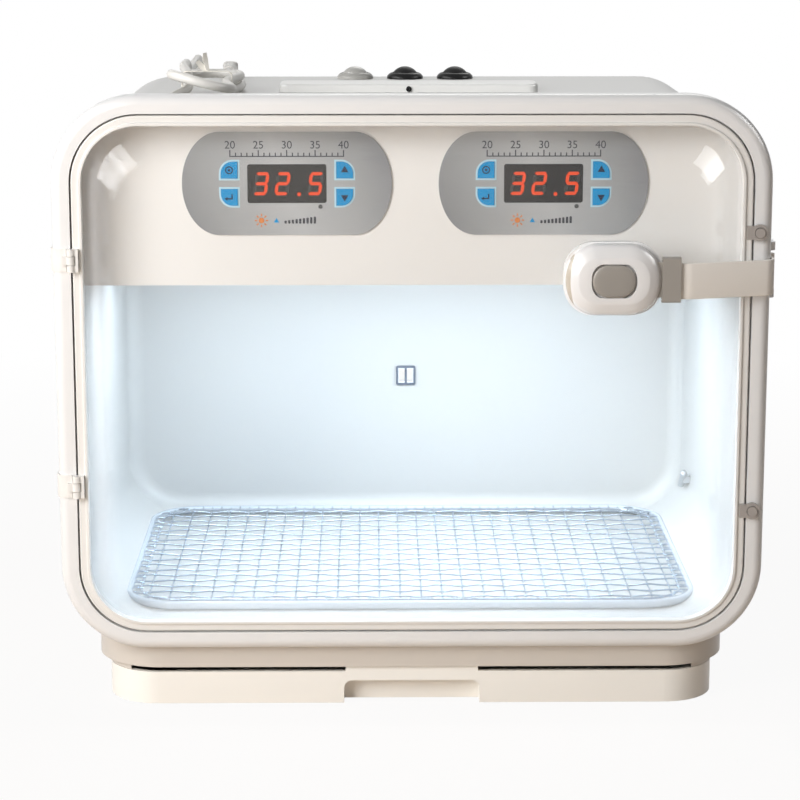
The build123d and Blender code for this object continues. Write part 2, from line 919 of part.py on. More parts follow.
def cord_tube(name, points):
    """Round tube along straight runs and tangent arcs."""
    radii = cord_radii(points)
    path = FilletPolyline(*points, radius=radii)
    start = Plane(origin=path @ 0, z_dir=path % 0)
    tube = sweep(start * Circle(cord_diameter / 2), path=path)
    volume = pi * cord_diameter**2 / 4 * path.length
    print(name, "radii", [round(r, 1) for r in radii], "length", round(path.length, 1))
    print(name, "volume over section times length", round(tube.volume / volume, 4))
    return tube


def bend_points(centre, radius, start, turn):
    """Corners of a quarter turn spread over three points, from start towards turn."""
    corners = []
    for angle in (15, 45, 75):
        along = radius / cos(radians(15)) * sin(radians(angle))
        away = radius / cos(radians(15)) * cos(radians(angle))
        corners.append(tuple(c + along * t + away * s for c, s, t in zip(centre, start, turn)))
    return corners


def lead_points():
    """From the strain relief forwards over the top into the hank."""
    x = strand_x(0)
    return [
        (gland_x, gland_mouth, gland_z),
        (gland_x, gland_mouth - 14, gland_z),
        (gland_x + 2, gland_mouth - 33, hank_low + 0.3),
        (x - 4, gland_mouth - 53, hank_low),
        (x, hank_end + 16, hank_low),
        (x, hank_end, hank_low),
    ]


def tail_points():
    """From the hank's top over the rear edge, hanging down to the plug."""
    x = strand_x(hank_strands - 1)
    arch_z = shell_top + edge_crest - tail_bend
    arch = bend_points((x + 0.5, back - edge_reach, arch_z), tail_bend, (0, 0, 1), (0, 1, 0))
    hang_y = arch[-1][1]
    return [
        (x, hank_end, hank_top),
        (x, hank_end + 15, hank_top),
        (x - 1, hank_end + 34, shell_top + 13),
        (x - 2, hank_end + 54, shell_top + 9.1),
        (x - 1.5, hank_end + 75, shell_top + 8.9),
        (x, hank_end + 96, shell_top + 12.1),
        *arch,
        (x + 1.2, hang_y + 0.3, shell_top - 46),
        (x + 1.5, hang_y - 0.6, shell_top - 97),
        (x + 0.5, hang_y - 1.5, shell_top - 150),
        (x + 0.5, hang_y - 1.5, shell_top - plug_drop),
    ]


def strand_x(strand):
    """A hank run's place across the hank: even runs on the right, odd ones on the left."""
    return hank_x + (hank_half if strand % 2 == 0 else -hank_half)


def swerve(start, end, along):
    """Two equal arcs from start to end, leaving and arriving along one direction."""
    start, end, along = Vector(*start), Vector(*end), Vector(*along)
    middle = (start + end) / 2
    step = middle - start
    reach = step.dot(along)
    aside = step - along * reach
    radius = (reach**2 + aside.length**2) / (2 * aside.length)
    half = (reach / radius) / 2
    lean = aside.normalized() * radius * (1 - cos(half)) + along * radius * sin(half)
    return [ThreePointArc(start, start + lean, middle), ThreePointArc(middle, end - lean, end)]


def hank_path():
    """Loops that lie on each other: each run on the left climbs by one layer."""
    first = (strand_x(0), hank_rear, hank_low)
    edges = [Line((strand_x(0), hank_end, hank_low), first)]
    for strand in range(hank_strands):
        forwards = strand % 2 == 0
        begin, finish = (hank_rear, hank_front) if forwards else (hank_front, hank_rear)
        along = (0, -1, 0) if forwards else (0, 1, 0)
        x = strand_x(strand)
        waist_x = x - hank_draw if x > hank_x else x + hank_draw
        z0 = hank_low + strand // 2 * layer_rise
        z1 = z0 if forwards else z0 + layer_rise
        waist = (waist_x, hank_y, (z0 + z1) / 2)
        edges += swerve((x, begin, z0), waist, along)
        edges += swerve(waist, (x, finish, z1), along)
        if strand < hank_strands - 1:
            next_x = strand_x(strand + 1)
            radius = abs(next_x - x) / 2
            crown = finish - radius if forwards else finish + radius
            edges.append(ThreePointArc((x, finish, z1), ((x + next_x) / 2, crown, z1), (next_x, finish, z1)))
    last = hank_strands - 1
    edges.append(Line((strand_x(last), hank_rear, hank_top), (strand_x(last), hank_end, hank_top)))
    return Wire(edges)


def least_gap(path, count=600):
    """Smallest distance between the surfaces of runs that aren't next to each other."""
    points = [path.position_at(i / count) for i in range(count + 1)]
    skip = int(4 * cord_diameter / (path.length / count))
    gaps = [
        (points[i] - points[j]).length
        for i in range(count + 1)
        for j in range(i + skip, count + 1)
    ]
    return min(gaps) - cord_diameter


def cord_hank():
    path = hank_path()
    start = Plane(origin=path @ 0, z_dir=path % 0)
    tube = sweep(start * Circle(cord_diameter / 2), path=path)
    volume = pi * cord_diameter**2 / 4 * path.length
    print("hank length", round(path.length, 1), "least gap", round(least_gap(path), 2))
    print("hank volume over section times length", round(tube.volume / volume, 4))
    return tube


def power_cord():
    return Part() + [cord_tube("lead", lead_points()), cord_tube("tail", tail_points())]


def cord_tie():
    """Twist tie round the hank's waist, with its two tails standing up."""
    room = cord_diameter / 2 + tie_slack
    half = hank_half - hank_draw + room
    low = hank_low - room
    high = hank_top - layer_rise / 2 + room
    centre_z = (low + high) / 2
    y0 = hank_y - tie_width / 2
    y1 = hank_y + tie_width / 2
    skin = 2 * tie_thickness
    band = slab(2 * half + skin, high - low + skin, cord_diameter / 2, y0, y1, hank_x, centre_z)
    band -= slab(2 * half, high - low, cord_diameter / 2 - tie_thickness, y0, y1, hank_x, centre_z)
    for offset, length, lean in tie_tails:
        tail = Pos(0, 0, length / 2) * Box(tie_thickness, tie_width, length)
        above = block(hank_x - half, hank_x + half, y0, y1, high, high + 2 * length)
        band += Pos(hank_x + offset, hank_y, high) * Rot(Y=lean) * tail & above
    return band


def cord_gland():
    """Right-angle strain relief on the top, pointing forwards."""
    x = gland_x
    boss = post(x, gland_y, shell_top, gland_z + gland_wide, gland_wide)
    boss = fillet(boss.edges().group_by(Axis.Z)[-1], gland_wide / 2)
    sleeve = Pos(x, (gland_y + gland_mouth) / 2, gland_z) * Rot(X=90) * Cone(gland_wide, gland_narrow, gland_length)
    flange = post(x, gland_y, shell_top, shell_top + gland_flange, gland_flange_radius)
    return boss + sleeve + flange + post(x, gland_y, shell_top - wall, shell_top, gland_wide - 1)


def power_plug():
    width, depth, height = plug_size
    x, y, top = tail_points()[-1]
    relief = Pos(x, y, top - plug_relief / 2) * Cone(1.5 * cord_diameter, gland_narrow, plug_relief)
    body = Pos(x, y, top - plug_relief - height / 2) * Box(width, depth, height)
    body = fillet(body.edges().filter_by(Axis.Z), depth / 3)
    body = fillet(body.edges().group_by(Axis.Z)[-1], depth / 6)
    thick, broad, length = plug_pin
    low = top - plug_relief - height
    for side in (-1, 1):
        body += Pos(x + side * plug_pin_spacing / 2, y, low - length / 2) * Box(thick, broad, length)
    return relief + body


# Places that need the functions above
mesh_z = chamber_floor + mesh_low
hank_end = hank_rear + cord_diameter
hank_top = hank_low + hank_strands // 2 * layer_rise
base_face = dome_front - pad_thickness - lock_base_thickness
cover_face = base_face - cover_height
strap_y = base_face - 0.4 * cover_height
strap_x = frame_width / 2 + strap_side_gap + strap_thickness / 2
buckle_left = lock_x + lock_width / 2 - cover_inset + slip
anchor_y = frame_back + anchor_eye_radius + 2 * slip
anchor_front = frame_back + slip
anchor_half = strap_width / 2 + anchor_ear_gap + anchor_ear
cover_front = cover_y - cover_depth / 2
key_front = fascia_front - overlay_thickness - key_proud
key_places = {"set": (-1, 1), "enter": (-1, -1), "up": (1, 1), "down": (1, -1)}

parts = {
    "body_shell": body_shell(),
    "shell_back": shell_back(),
    "front_frame": front_frame(),
    "plinth": plinth(),
    "base_pan": base_pan(),
    "drawer": drawer(),
    "mat_frame": mat_frame(),
    "mat_mesh": mat_mesh(),
    "door_frame": door_frame(),
    "door_window": door_window(),
    "frame_hinge_leaves": frame_hinge_leaves(),
    "door_hinge_leaves": door_hinge_leaves(),
    "hinge_pins": hinge_pins(),
    "catch_pegs": catch_pegs(),
    "catch_clips": catch_clips(),
    "lock_pad": lock_pad(),
    "lock_base": lock_base(),
    "lock_cover": lock_cover(),
    "lock_button": lock_button(),
    "strap_buckle": strap_buckle(),
    "strap_band": strap_band(),
    "anchor_pad": anchor_pad(),
    "anchor_base": anchor_base(),
    "anchor_pin": anchor_pin(),
    "fascia_panel": fascia_panel(),
    "electrics_tray": electrics_tray(),
    "display_windows": display_windows(),
    "power_supply": power_supply(),
    "led_bars": led_bars(),
    "temperature_probe": temperature_probe(),
    "rear_vent": rear_vent(),
    "top_cover": top_cover(),
    "cover_grommet": cover_grommet(),
    "switch_bezels": switch_bezels(),
    "power_cord": power_cord(),
    "cord_hank": cord_hank(),
    "cord_tie": cord_tie(),
    "cord_gland": cord_gland(),
    "power_plug": power_plug(),
}
for side, x in zip(("left", "right"), controller_xs):
    parts[f"overlay_{side}"] = overlay(x)
    parts[f"controller_{side}"] = controller_case(x)
    for key, (right, up) in key_places.items():
        parts[f"{key}_key_{side}"] = key_solid(x, right, up, 0, key_front, key_front + key_thickness)
for side, x in zip(("left", "right"), heater_xs):
    parts[f"heater_{side}"] = heater(x)
    parts[f"fan_frame_{side}"] = fan_frame(x)
    parts[f"fan_impeller_{side}"] = fan_impeller(x)
for use, x in zip(("light", "heat_1", "heat_2"), switch_xs):
    parts[f"switch_cap_{use}"] = switch_cap(x)

os.makedirs("parts", exist_ok=True)
for name, solid in parts.items():
    export_step(solid, f"parts/{name}.step")
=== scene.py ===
import math

import bmesh
import bpy
from mathutils import Matrix, Vector


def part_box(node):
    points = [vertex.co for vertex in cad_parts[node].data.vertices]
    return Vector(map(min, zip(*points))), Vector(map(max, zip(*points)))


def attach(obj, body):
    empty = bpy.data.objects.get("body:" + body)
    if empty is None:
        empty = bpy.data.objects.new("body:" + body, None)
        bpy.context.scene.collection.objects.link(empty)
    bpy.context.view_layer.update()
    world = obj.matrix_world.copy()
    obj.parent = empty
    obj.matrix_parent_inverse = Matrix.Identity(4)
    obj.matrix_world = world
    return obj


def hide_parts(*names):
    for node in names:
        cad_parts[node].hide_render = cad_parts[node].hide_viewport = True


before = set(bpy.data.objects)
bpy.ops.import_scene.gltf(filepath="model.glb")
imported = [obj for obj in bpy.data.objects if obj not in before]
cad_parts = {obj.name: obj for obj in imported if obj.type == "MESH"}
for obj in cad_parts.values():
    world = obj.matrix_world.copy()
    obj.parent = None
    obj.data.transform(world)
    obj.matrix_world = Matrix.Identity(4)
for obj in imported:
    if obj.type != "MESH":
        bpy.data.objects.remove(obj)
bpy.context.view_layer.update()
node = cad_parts

# The view: a long lens a little above the door, looking down at it as on a
# low table. Floor and surroundings are plain white, and a soft lamp stands
# close at the upper left, so that the box is paler there than at its right.
camera_data = bpy.data.cameras.new("camera")
camera_data.lens = 112.5
camera_data.sensor_width = 36
camera_data.clip_end = 100
camera = bpy.data.objects.new("camera", camera_data)
camera.location = (-0.0239, -1.6208, 0.5034)
camera.rotation_euler = (math.radians(78.17), 0, math.radians(-0.64))
bpy.context.scene.collection.objects.link(camera)
bpy.context.scene.camera = camera
bpy.context.scene.view_settings.view_transform = "Standard"


def worked_out(tree, operation, *values):
    """What a Math node makes of these values, each a node's output or a plain number."""
    step = tree.nodes.new("ShaderNodeMath")
    step.operation = operation
    for socket, value in zip(step.inputs, values):
        if isinstance(value, bpy.types.NodeSocket):
            tree.links.new(value, socket)
        else:
            socket.default_value = value
    return step.outputs[0]


def mixed(tree, share, first, second):
    """Two shaders in one, with that share of the second."""
    mix = tree.nodes.new("ShaderNodeMixShader")
    for socket, value in zip(mix.inputs, (share, first, second)):
        tree.links.new(value, socket)
    return mix.outputs["Shader"]


def eye_rays(tree):
    """A value of 1 for what the eye meets straight on, in a mirror or through glass."""
    ray = tree.nodes.new("ShaderNodeLightPath").outputs
    seen = worked_out(tree, "MAXIMUM", ray["Is Camera Ray"], ray["Is Glossy Ray"])
    return worked_out(tree, "MAXIMUM", seen, ray["Is Transmission Ray"])


world = bpy.data.worlds.new("studio")
bpy.context.scene.world = world
world.use_nodes = True
studio = world.node_tree
sky = studio.nodes["Background"]
sky.inputs["Color"].default_value = (0.97, 0.98, 1, 1)
sky.inputs["Strength"].default_value = 0.12
white = studio.nodes.new("ShaderNodeBackground")
white.inputs["Color"].default_value = (1, 1, 1, 1)
white.inputs["Strength"].default_value = 1
surround = mixed(studio, eye_rays(studio), sky.outputs["Background"], white.outputs["Background"])
studio.links.new(surround, studio.nodes["World Output"].inputs["Surface"])

floor_mesh = bpy.data.meshes.new("floor")
ground = bmesh.new()
bmesh.ops.create_grid(ground, x_segments=1, y_segments=1, size=40)
ground.to_mesh(floor_mesh)
ground.free()
floor = bpy.data.objects.new("floor", floor_mesh)
floor.location.z = -0.0004
bpy.context.scene.collection.objects.link(floor)
floor_white = bpy.data.materials.new("floor_white")
floor_white.use_nodes = True
floor_tree = floor_white.node_tree
floor_shader = floor_tree.nodes["Principled BSDF"]
floor_shader.inputs["Base Color"].default_value = (0.62, 0.48, 0.36, 1)
floor_shader.inputs["Roughness"].default_value = 0.9
floor_shader.inputs["Specular IOR Level"].default_value = 0
floor_glow = floor_tree.nodes.new("ShaderNodeEmission")
floor_place = floor_tree.nodes.new("ShaderNodeTexCoord")
floor_far = floor_tree.nodes.new("ShaderNodeVectorMath")
floor_far.operation = "LENGTH"
floor_fade = floor_tree.nodes.new("ShaderNodeMapRange")
floor_fade.inputs["From Min"].default_value = 0.35
floor_fade.inputs["From Max"].default_value = 1.1
floor_fade.inputs["To Min"].default_value = 0.94
floor_fade.inputs["To Max"].default_value = 1
floor_tree.links.new(floor_place.outputs["Object"], floor_far.inputs[0])
floor_tree.links.new(floor_far.outputs["Value"], floor_fade.inputs["Value"])
floor_seen = worked_out(floor_tree, "MULTIPLY", floor_fade.outputs["Result"], eye_rays(floor_tree))
floor_skin = mixed(floor_tree, floor_seen, floor_shader.outputs["BSDF"], floor_glow.outputs["Emission"])
floor_tree.links.new(floor_skin, floor_tree.nodes["Material Output"].inputs["Surface"])
floor_mesh.materials.append(floor_white)


def area_lamp(name, place, width, depth, power, tint):
    """A flat lamp that shines downwards, of that size in metres and power in watts."""
    light = bpy.data.lights.new(name, "AREA")
    light.shape = "RECTANGLE"
    light.size, light.size_y = width, depth
    light.energy = power
    light.color = tint
    lamp = bpy.data.objects.new(name, light)
    lamp.location = place
    bpy.context.scene.collection.objects.link(lamp)
    return lamp


# the lamps light the box; the panels only show in gloss, as on the window's upper corners
for name, place, aim, breadth, power, tint in (
    ("lamp_key", (-0.97, -1.08, 0.74), (0, -0.1, 0.22), 0.9, 22, (1, 1, 1)),
    ("lamp_front", (-0.2, -1.9, 0.25), (0, -0.15, 0.1), 0.8, 1.6, (1, 0.9, 0.78)),
    ("lamp_back", (0.3, 2.0, 1.9), (0, 0, 0.2), 1.2, 15, (1, 1, 0.97)),
    ("panel_left", (-1.6, -0.5, 1.2), (-0.17, -0.15, 0.34), 1.3, 45, (1, 1, 1)),
    ("panel_right", (1.7, -0.35, 1.3), (0.17, -0.15, 0.34), 1.0, 30, (1, 1, 1)),
):
    lamp = area_lamp(name, place, breadth, breadth, power, tint)
    lamp.rotation_euler = (Vector(place) - Vector(aim)).to_track_quat("Z", "Y").to_euler()
    lamp.visible_diffuse = name.startswith("lamp")


# Base pan and plinth: two white mouldings that carry the box, one screwed into
# the other. The plastic is smooth, with a faint grain from the tool. Their
# colour is darkened as painted shade, for the shadow of the frame above them.
def moulded_plastic(name, colour, roughness, grain, mottle=0.03, sockets=None):
    """A finish with a faint mottle, uneven gloss and a fine grain of that depth in metres.

    Other sockets of the shader get the values that are given for them.
    """
    finish = bpy.data.materials.new(name)
    finish.use_nodes = True
    tree = finish.node_tree
    shader = tree.nodes["Principled BSDF"]
    for socket, value in (sockets or {}).items():
        shader.inputs[socket].default_value = value
    place = tree.nodes.new("ShaderNodeTexCoord")
    cloud = tree.nodes.new("ShaderNodeTexNoise")
    cloud.inputs["Scale"].default_value = 14
    cloud.inputs["Detail"].default_value = 4
    tone = tree.nodes.new("ShaderNodeValToRGB")
    tone.name = "tone"
    tone.color_ramp.elements[0].position = 0.3
    tone.color_ramp.elements[1].position = 0.7
    tone.color_ramp.elements[0].color = (*(c * (1 - mottle) for c in colour), 1)
    tone.color_ramp.elements[1].color = (*colour, 1)
    gloss = tree.nodes.new("ShaderNodeMapRange")
    gloss.inputs["To Min"].default_value = roughness * 0.88
    gloss.inputs["To Max"].default_value = roughness * 1.12
    speck = tree.nodes.new("ShaderNodeTexNoise")
    speck.inputs["Scale"].default_value = 1100
    speck.inputs["Detail"].default_value = 2
    bump = tree.nodes.new("ShaderNodeBump")
    bump.inputs["Distance"].default_value = grain
    bump.inputs["Strength"].default_value = 0.35
    link = tree.links.new
    link(place.outputs["Object"], cloud.inputs["Vector"])
    link(place.outputs["Object"], speck.inputs["Vector"])
    link(cloud.outputs["Fac"], tone.inputs["Fac"])
    link(tone.outputs["Color"], shader.inputs["Base Color"])
    link(cloud.outputs["Fac"], gloss.inputs["Value"])
    link(gloss.outputs["Result"], shader.inputs["Roughness"])
    link(speck.outputs["Fac"], bump.inputs["Height"])
    link(bump.outputs["Normal"], shader.inputs["Normal"])
    return finish


def dress(names, finish):
    """Gives these nodes of the frame that one finish."""
    for name in names:
        node[name].data.materials.clear()
        node[name].data.materials.append(finish)


# the base's colour is darkened as painted shade, for the shadow of the frame above it
base_white = moulded_plastic("base_white", (0.64, 0.59, 0.53), 0.36, 0.00003, 0.015)
dress(("plinth", "base_pan"), base_white)

# Drawer: a shallow white tray with a finger notch in its front, moulded in one
# piece, brighter than the base that it slides into, whose colour carries painted shade.
drawer_white = moulded_plastic("drawer_white", (0.95, 0.93, 0.875), 0.34, 0.00003, 0.015)
dress(("drawer",), drawer_white)

# Box shell, front frame and top cover: white glossy plastic, moulded as a
# sleeve, a rear dish, a frame and a low lid that are screwed together from
# inside. The frame and the lid are brighter than the shell, whose colour is darkened as painted shade.
# the shell's colour is darkened as painted shade, as on its grey top
shell_white = moulded_plastic("shell_white", (0.61, 0.605, 0.59), 0.36, 0.00002, 0.01)
dress(("body_shell", "shell_back"), shell_white)
frame_white = moulded_plastic("frame_white", (0.81, 0.805, 0.80), 0.3, 0.00002, 0.01)
dress(("front_frame",), frame_white)
cover_white = moulded_plastic("cover_white", (0.95, 0.945, 0.92), 0.3, 0.00002, 0.01)
dress(("top_cover",), cover_white)


# Rear vent and temperature probe: a small insert in the rear wall, painted dark
# as painted shade on its lip and on the bar between its two slots, with its two
# slots painted pale as painted light of the bright surroundings seen through
# them; and a steel capsule held by a clip on the right wall.
def front_place(tree, x, z):
    """Object coordinates laid flat on the front, measured from that point."""
    place = tree.nodes.new("ShaderNodeTexCoord")
    centre = tree.nodes.new("ShaderNodeMapping")
    centre.inputs["Location"].default_value = (-x, 0, -z)
    centre.inputs["Scale"].default_value = (1, 0, 1)
    tree.links.new(place.outputs["Object"], centre.inputs["Vector"])
    return centre.outputs["Vector"]


def front_axes(tree, x, z):
    """How far across and how far up a place is from that point of the front."""
    apart = tree.nodes.new("ShaderNodeSeparateXYZ")
    tree.links.new(front_place(tree, x, z), apart.inputs["Vector"])
    return apart.outputs["X"], apart.outputs["Z"]


def paint(finish, mask, colour):
    """Paints a moulded finish with that colour where the mask is 1."""
    tree = finish.node_tree
    coat = tree.nodes.new("ShaderNodeMixRGB")
    coat.inputs["Color2"].default_value = (*colour, 1)
    tree.links.new(mask, coat.inputs["Fac"])
    tree.links.new(tree.nodes["tone"].outputs["Color"], coat.inputs["Color1"])
    tree.links.new(coat.outputs["Color"], tree.nodes["Principled BSDF"].inputs["Base Color"])


vent_low, vent_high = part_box("rear_vent")
vent_mid = (vent_low + vent_high) / 2
vent_lip, vent_bar = 0.0016, 0.0008
# dark all over as painted shade
vent_painted_shade_and_light = moulded_plastic("vent_painted_shade_and_light", (0.13, 0.15, 0.19), 0.45, 0.00003)
vent = vent_painted_shade_and_light.node_tree
across, upwards = (worked_out(vent, "ABSOLUTE", axis) for axis in front_axes(vent, vent_mid.x, vent_mid.z))
beside_bar = worked_out(vent, "GREATER_THAN", across, vent_bar)
inside_ends = worked_out(vent, "LESS_THAN", across, (vent_high.x - vent_low.x) / 2 - vent_lip)
inside_rims = worked_out(vent, "LESS_THAN", upwards, (vent_high.z - vent_low.z) / 2 - vent_lip)
# the two slots, painted pale as painted light of the bright surroundings seen through them
painted_light_panes = worked_out(vent, "MULTIPLY", worked_out(vent, "MULTIPLY", beside_bar, inside_ends), inside_rims)
paint(vent_painted_shade_and_light, painted_light_panes, (0.78, 0.78, 0.77))
dress(("rear_vent",), vent_painted_shade_and_light)
bright_steel = moulded_plastic("bright_steel", (0.66, 0.67, 0.68), 0.28, 0.00001, sockets={"Metallic": 0.9})
dress(("temperature_probe",), bright_steel)


# Floor mat: a rounded pale rim, bent from clear tube, with a crimped wire mesh
# woven inside it. A border rod ties the wires off just inside the rim.
def add_piece(name, data, finish, body):
    """Puts a mesh or a curve in the scene as a piece that rides on that body."""
    data.materials.append(finish)
    made = bpy.data.objects.new(name, data)
    bpy.context.scene.collection.objects.link(made)
    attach(made, body)
    return made


def finish_piece(name, shape, finish, body, sharp=40):
    """Makes the shape such a piece, smooth but for edges that turn by more than that many degrees."""
    mesh = bpy.data.meshes.new(name)
    shape.to_mesh(mesh)
    shape.free()
    mesh.shade_smooth()
    mesh.set_sharp_from_angle(angle=math.radians(sharp))
    return add_piece(name, mesh, finish, body)


def new_verts(result):
    """The points that an operator has just made."""
    return [made for made in result["geom"] if isinstance(made, bmesh.types.BMVert)]


def soften_edges(shape, offset, segments, least=60):
    """Rounds every edge that turns by more than that many degrees."""
    shape.normal_update()
    hard = [e for e in shape.edges if len(e.link_faces) == 2 and e.calc_face_angle() > math.radians(least)]
    bmesh.ops.bevel(
        shape, geom=hard, offset=offset, segments=segments, profile=0.5, affect="EDGES", material=-1
    )


def step_in(shape, faces, inward, forward=0):
    """Draws these faces in from their edge and brings them forwards."""
    bmesh.ops.inset_region(
        shape, faces=faces, thickness=inward, depth=forward, use_boundary=True, use_even_offset=True
    )


def cut_middle(face, breadth):
    """Leaves a line of that breadth along the face's edge."""
    middle = face.faces[:]
    step_in(face, middle, breadth)
    bmesh.ops.delete(face, geom=middle, context="FACES")
    return face


def thicken(face, step):
    """Gives a flat face a thickness along that step, and closes it all round."""
    grown = bmesh.ops.extrude_face_region(face, geom=face.faces[:])
    bmesh.ops.translate(face, vec=step, verts=new_verts(grown))
    bmesh.ops.recalc_face_normals(face, faces=face.faces)
    return face


def level_ring(width, depth, corner, breadth, height):
    """A level frame with rounded corners: one face, rounded, cut out and raised."""
    ring = bmesh.new()
    bmesh.ops.create_grid(ring, x_segments=1, y_segments=1, size=0.5)
    bmesh.ops.scale(ring, vec=(width, depth, 1), verts=ring.verts)
    bmesh.ops.bevel(
        ring, geom=ring.verts[:], offset=corner, segments=10, profile=0.5, affect="VERTICES", material=-1
    )
    return thicken(cut_middle(ring, breadth), (0, 0, height))


mat_low, mat_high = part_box("mat_frame")
mat_size = mat_high - mat_low
mat_mid = (mat_low + mat_high) / 2
mat_corner = 0.036
rim_breadth, rim_height, rim_round = 0.0042, 0.0054, 0.0020
rim_clear = moulded_plastic("rim_clear", (0.60, 0.65, 0.71), 0.12, 0.00001, 0.06, {"Coat Weight": 0.6})
mat_rim = level_ring(mat_size.x, mat_size.y, mat_corner, rim_breadth, rim_height)
soften_edges(mat_rim, rim_round, 5)
bmesh.ops.translate(mat_rim, vec=(mat_mid.x, mat_mid.y, mat_low.z), verts=mat_rim.verts)
mat_rim = finish_piece("mat_rim", mat_rim, rim_clear, "mat")
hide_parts("mat_frame")

wire_steel = moulded_plastic("wire_steel", (0.56, 0.62, 0.70), 0.22, 0.000005, 0.1, {"Metallic": 0.85})
border_inset, rod_breadth, rod_round, rod_rise = 0.0085, 0.0016, 0.0005, 0.0033
border_width, border_depth = mat_size.x - 2 * border_inset, mat_size.y - 2 * border_inset
rod_low = mat_low.z + rod_rise
mat_border = level_ring(border_width, border_depth, mat_corner - border_inset, rod_breadth, rod_breadth)
soften_edges(mat_border, rod_round, 2)
bmesh.ops.translate(mat_border, vec=(mat_mid.x, mat_mid.y, rod_low), verts=mat_border.verts)
finish_piece("mat_border", mat_border, wire_steel, "mat")


def round_curve(name, radius, sides, steps):
    """A curve for round wire of that radius, with so many sides and steps between its points."""
    curve = bpy.data.curves.new(name, "CURVE")
    curve.dimensions = "3D"
    curve.bevel_depth = radius
    curve.bevel_resolution = sides
    curve.resolution_u = steps
    return curve


def lay_spline(curve, stops):
    """One smooth line of the curve, with these control points."""
    spline = curve.splines.new("NURBS")
    spline.points.add(len(stops) - 1)
    for point, stop in zip(spline.points, stops):
        point.co = (*stop, 1)
    spline.order_u = 3
    spline.use_endpoint_u = True


wires = round_curve("mat_wires", 0.00062, 1, 2)
wires_across, wires_along = 27, 19
wire_inset, crimp, crimp_gap = 0.0025, 0.0011, 0.004
stub_length, stub_low, stub_high = 0.008, 0.0004, 0.0016
wire_half = Vector((mat_size.x, mat_size.y)) / 2 - Vector((wire_inset, wire_inset))
wire_z = rod_low + rod_breadth / 2


def lay_wire(line, offset, lengthwise):
    """One wire so far from the mat's middle, through these places along it and heights."""
    stops = [(run, offset, lift) if lengthwise else (offset, run, lift) for run, lift in line]
    lay_spline(wires, [(mat_mid.x + x, mat_mid.y + y, wire_z + z) for x, y, z in stops])


def wire_end(offset, across, along):
    """How far a wire so far from the middle runs before it meets the rounded rim."""
    past = abs(offset) - (across - mat_corner)
    return along if past <= 0 else along - mat_corner + math.sqrt(mat_corner**2 - past**2)


for count, other, lengthwise in ((wires_across, wires_along, False), (wires_along, wires_across, True)):
    across, along = (wire_half.y, wire_half.x) if lengthwise else (wire_half.x, wire_half.y)
    for row in range(1, count):
        offset = (2 * row / count - 1) * across
        end = wire_end(offset, across, along)
        wave = []
        for step in range(1, other):
            crossing = (2 * step / other - 1) * along
            if abs(crossing) < end - crimp_gap:
                wave.append((crossing, crimp if (row + step + lengthwise) % 2 else -crimp))
        lay_wire([(-end, 0), *wave, (end, 0)], offset, lengthwise)
        # a short end of wire, bent over the border rod, at both ends of each gap
        between = offset + across / count
        tip = wire_end(between, across, along)
        stub = ((tip, stub_low), (tip - stub_length / 2, stub_high), (tip - stub_length, stub_low))
        for side in (-1, 1):
            lay_wire([(side * run, lift) for run, lift in stub], between, lengthwise)
mat_wires = add_piece("mat_wires", wires, wire_steel, "mat")
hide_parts("mat_mesh")

# Heating space behind the fascia: finned heaters with a fan on each, and the
# power supply in a steel case. All of it is plain and out of sight.
fin_metal = moulded_plastic("fin_metal", (0.62, 0.63, 0.64), 0.4, 0.00002, sockets={"Metallic": 1.0})
dress(("heater_left", "heater_right"), fin_metal)
dress(("power_supply",), bright_steel)
fan_black = moulded_plastic("fan_black", (0.025, 0.025, 0.027), 0.4, 0.00003)
dress(("fan_frame_left", "fan_frame_right", "fan_impeller_left", "fan_impeller_right"), fan_black)

# Light bars: milky half-round lenses under the tray that shine on the chamber.
# A cool lamp sits under each lens, so that the white walls look a pale blue.
led_glow = {"Emission Color": (0.80, 0.92, 1.0, 1), "Emission Strength": 0.8}
led_milk = moulded_plastic("led_milk", (0.9, 0.93, 0.96), 0.4, 0.00002, sockets=led_glow)
dress(("led_bars",), led_milk)
bar_low, bar_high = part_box("led_bars")
bar_half, lit_length, lit_x, lit_z = 0.006, 0.33, -0.008, bar_low.z - 0.002
for bar_y in (bar_low.y + bar_half, bar_high.y - bar_half):
    area_lamp("bar_lamp", (lit_x, bar_y, lit_z), lit_length, 2 * bar_half, 0.51, (0.74, 0.87, 1.0))

# Fascia: the cream panel that closes the heating space off at the front, with
# the tray behind it in the same plastic.
fascia_cream = moulded_plastic("fascia_cream", (0.90, 0.865, 0.835), 0.42, 0.00003, 0.015)
dress(("fascia_panel", "electrics_tray"), fascia_cream)


# Controllers: dark cases clipped into the fascia behind silver printed face
# plates, each with a smoked display window, four film keys and a small lamp.
def upright_face(width, height, corner, corners=((-1, -1), (-1, 1), (1, -1), (1, 1)), segments=8):
    """One face that looks forwards, with these corners rounded."""
    face = bmesh.new()
    bmesh.ops.create_grid(face, x_segments=1, y_segments=1, size=0.5)
    bmesh.ops.scale(face, vec=(width, height, 1), verts=face.verts)
    bmesh.ops.rotate(face, cent=(0, 0, 0), matrix=Matrix.Rotation(math.pi / 2, 3, "X"), verts=face.verts)
    picked = [v for v in face.verts if (math.copysign(1, v.co.x), math.copysign(1, v.co.z)) in corners]
    if corner:
        bmesh.ops.bevel(
            face, geom=picked, offset=corner, segments=segments, profile=0.5, affect="VERTICES", material=-1
        )
    return face


def disc(radius, segments=24):
    """A round face that looks forwards."""
    face = bmesh.new()
    bmesh.ops.create_circle(face, cap_ends=True, segments=segments, radius=radius)
    bmesh.ops.rotate(face, cent=(0, 0, 0), matrix=Matrix.Rotation(math.pi / 2, 3, "X"), verts=face.verts)
    return face


def bring_forwards(face, depth):
    """Gives a face that looks forwards a thickness towards the front."""
    return thicken(face, (0, -depth, 0))


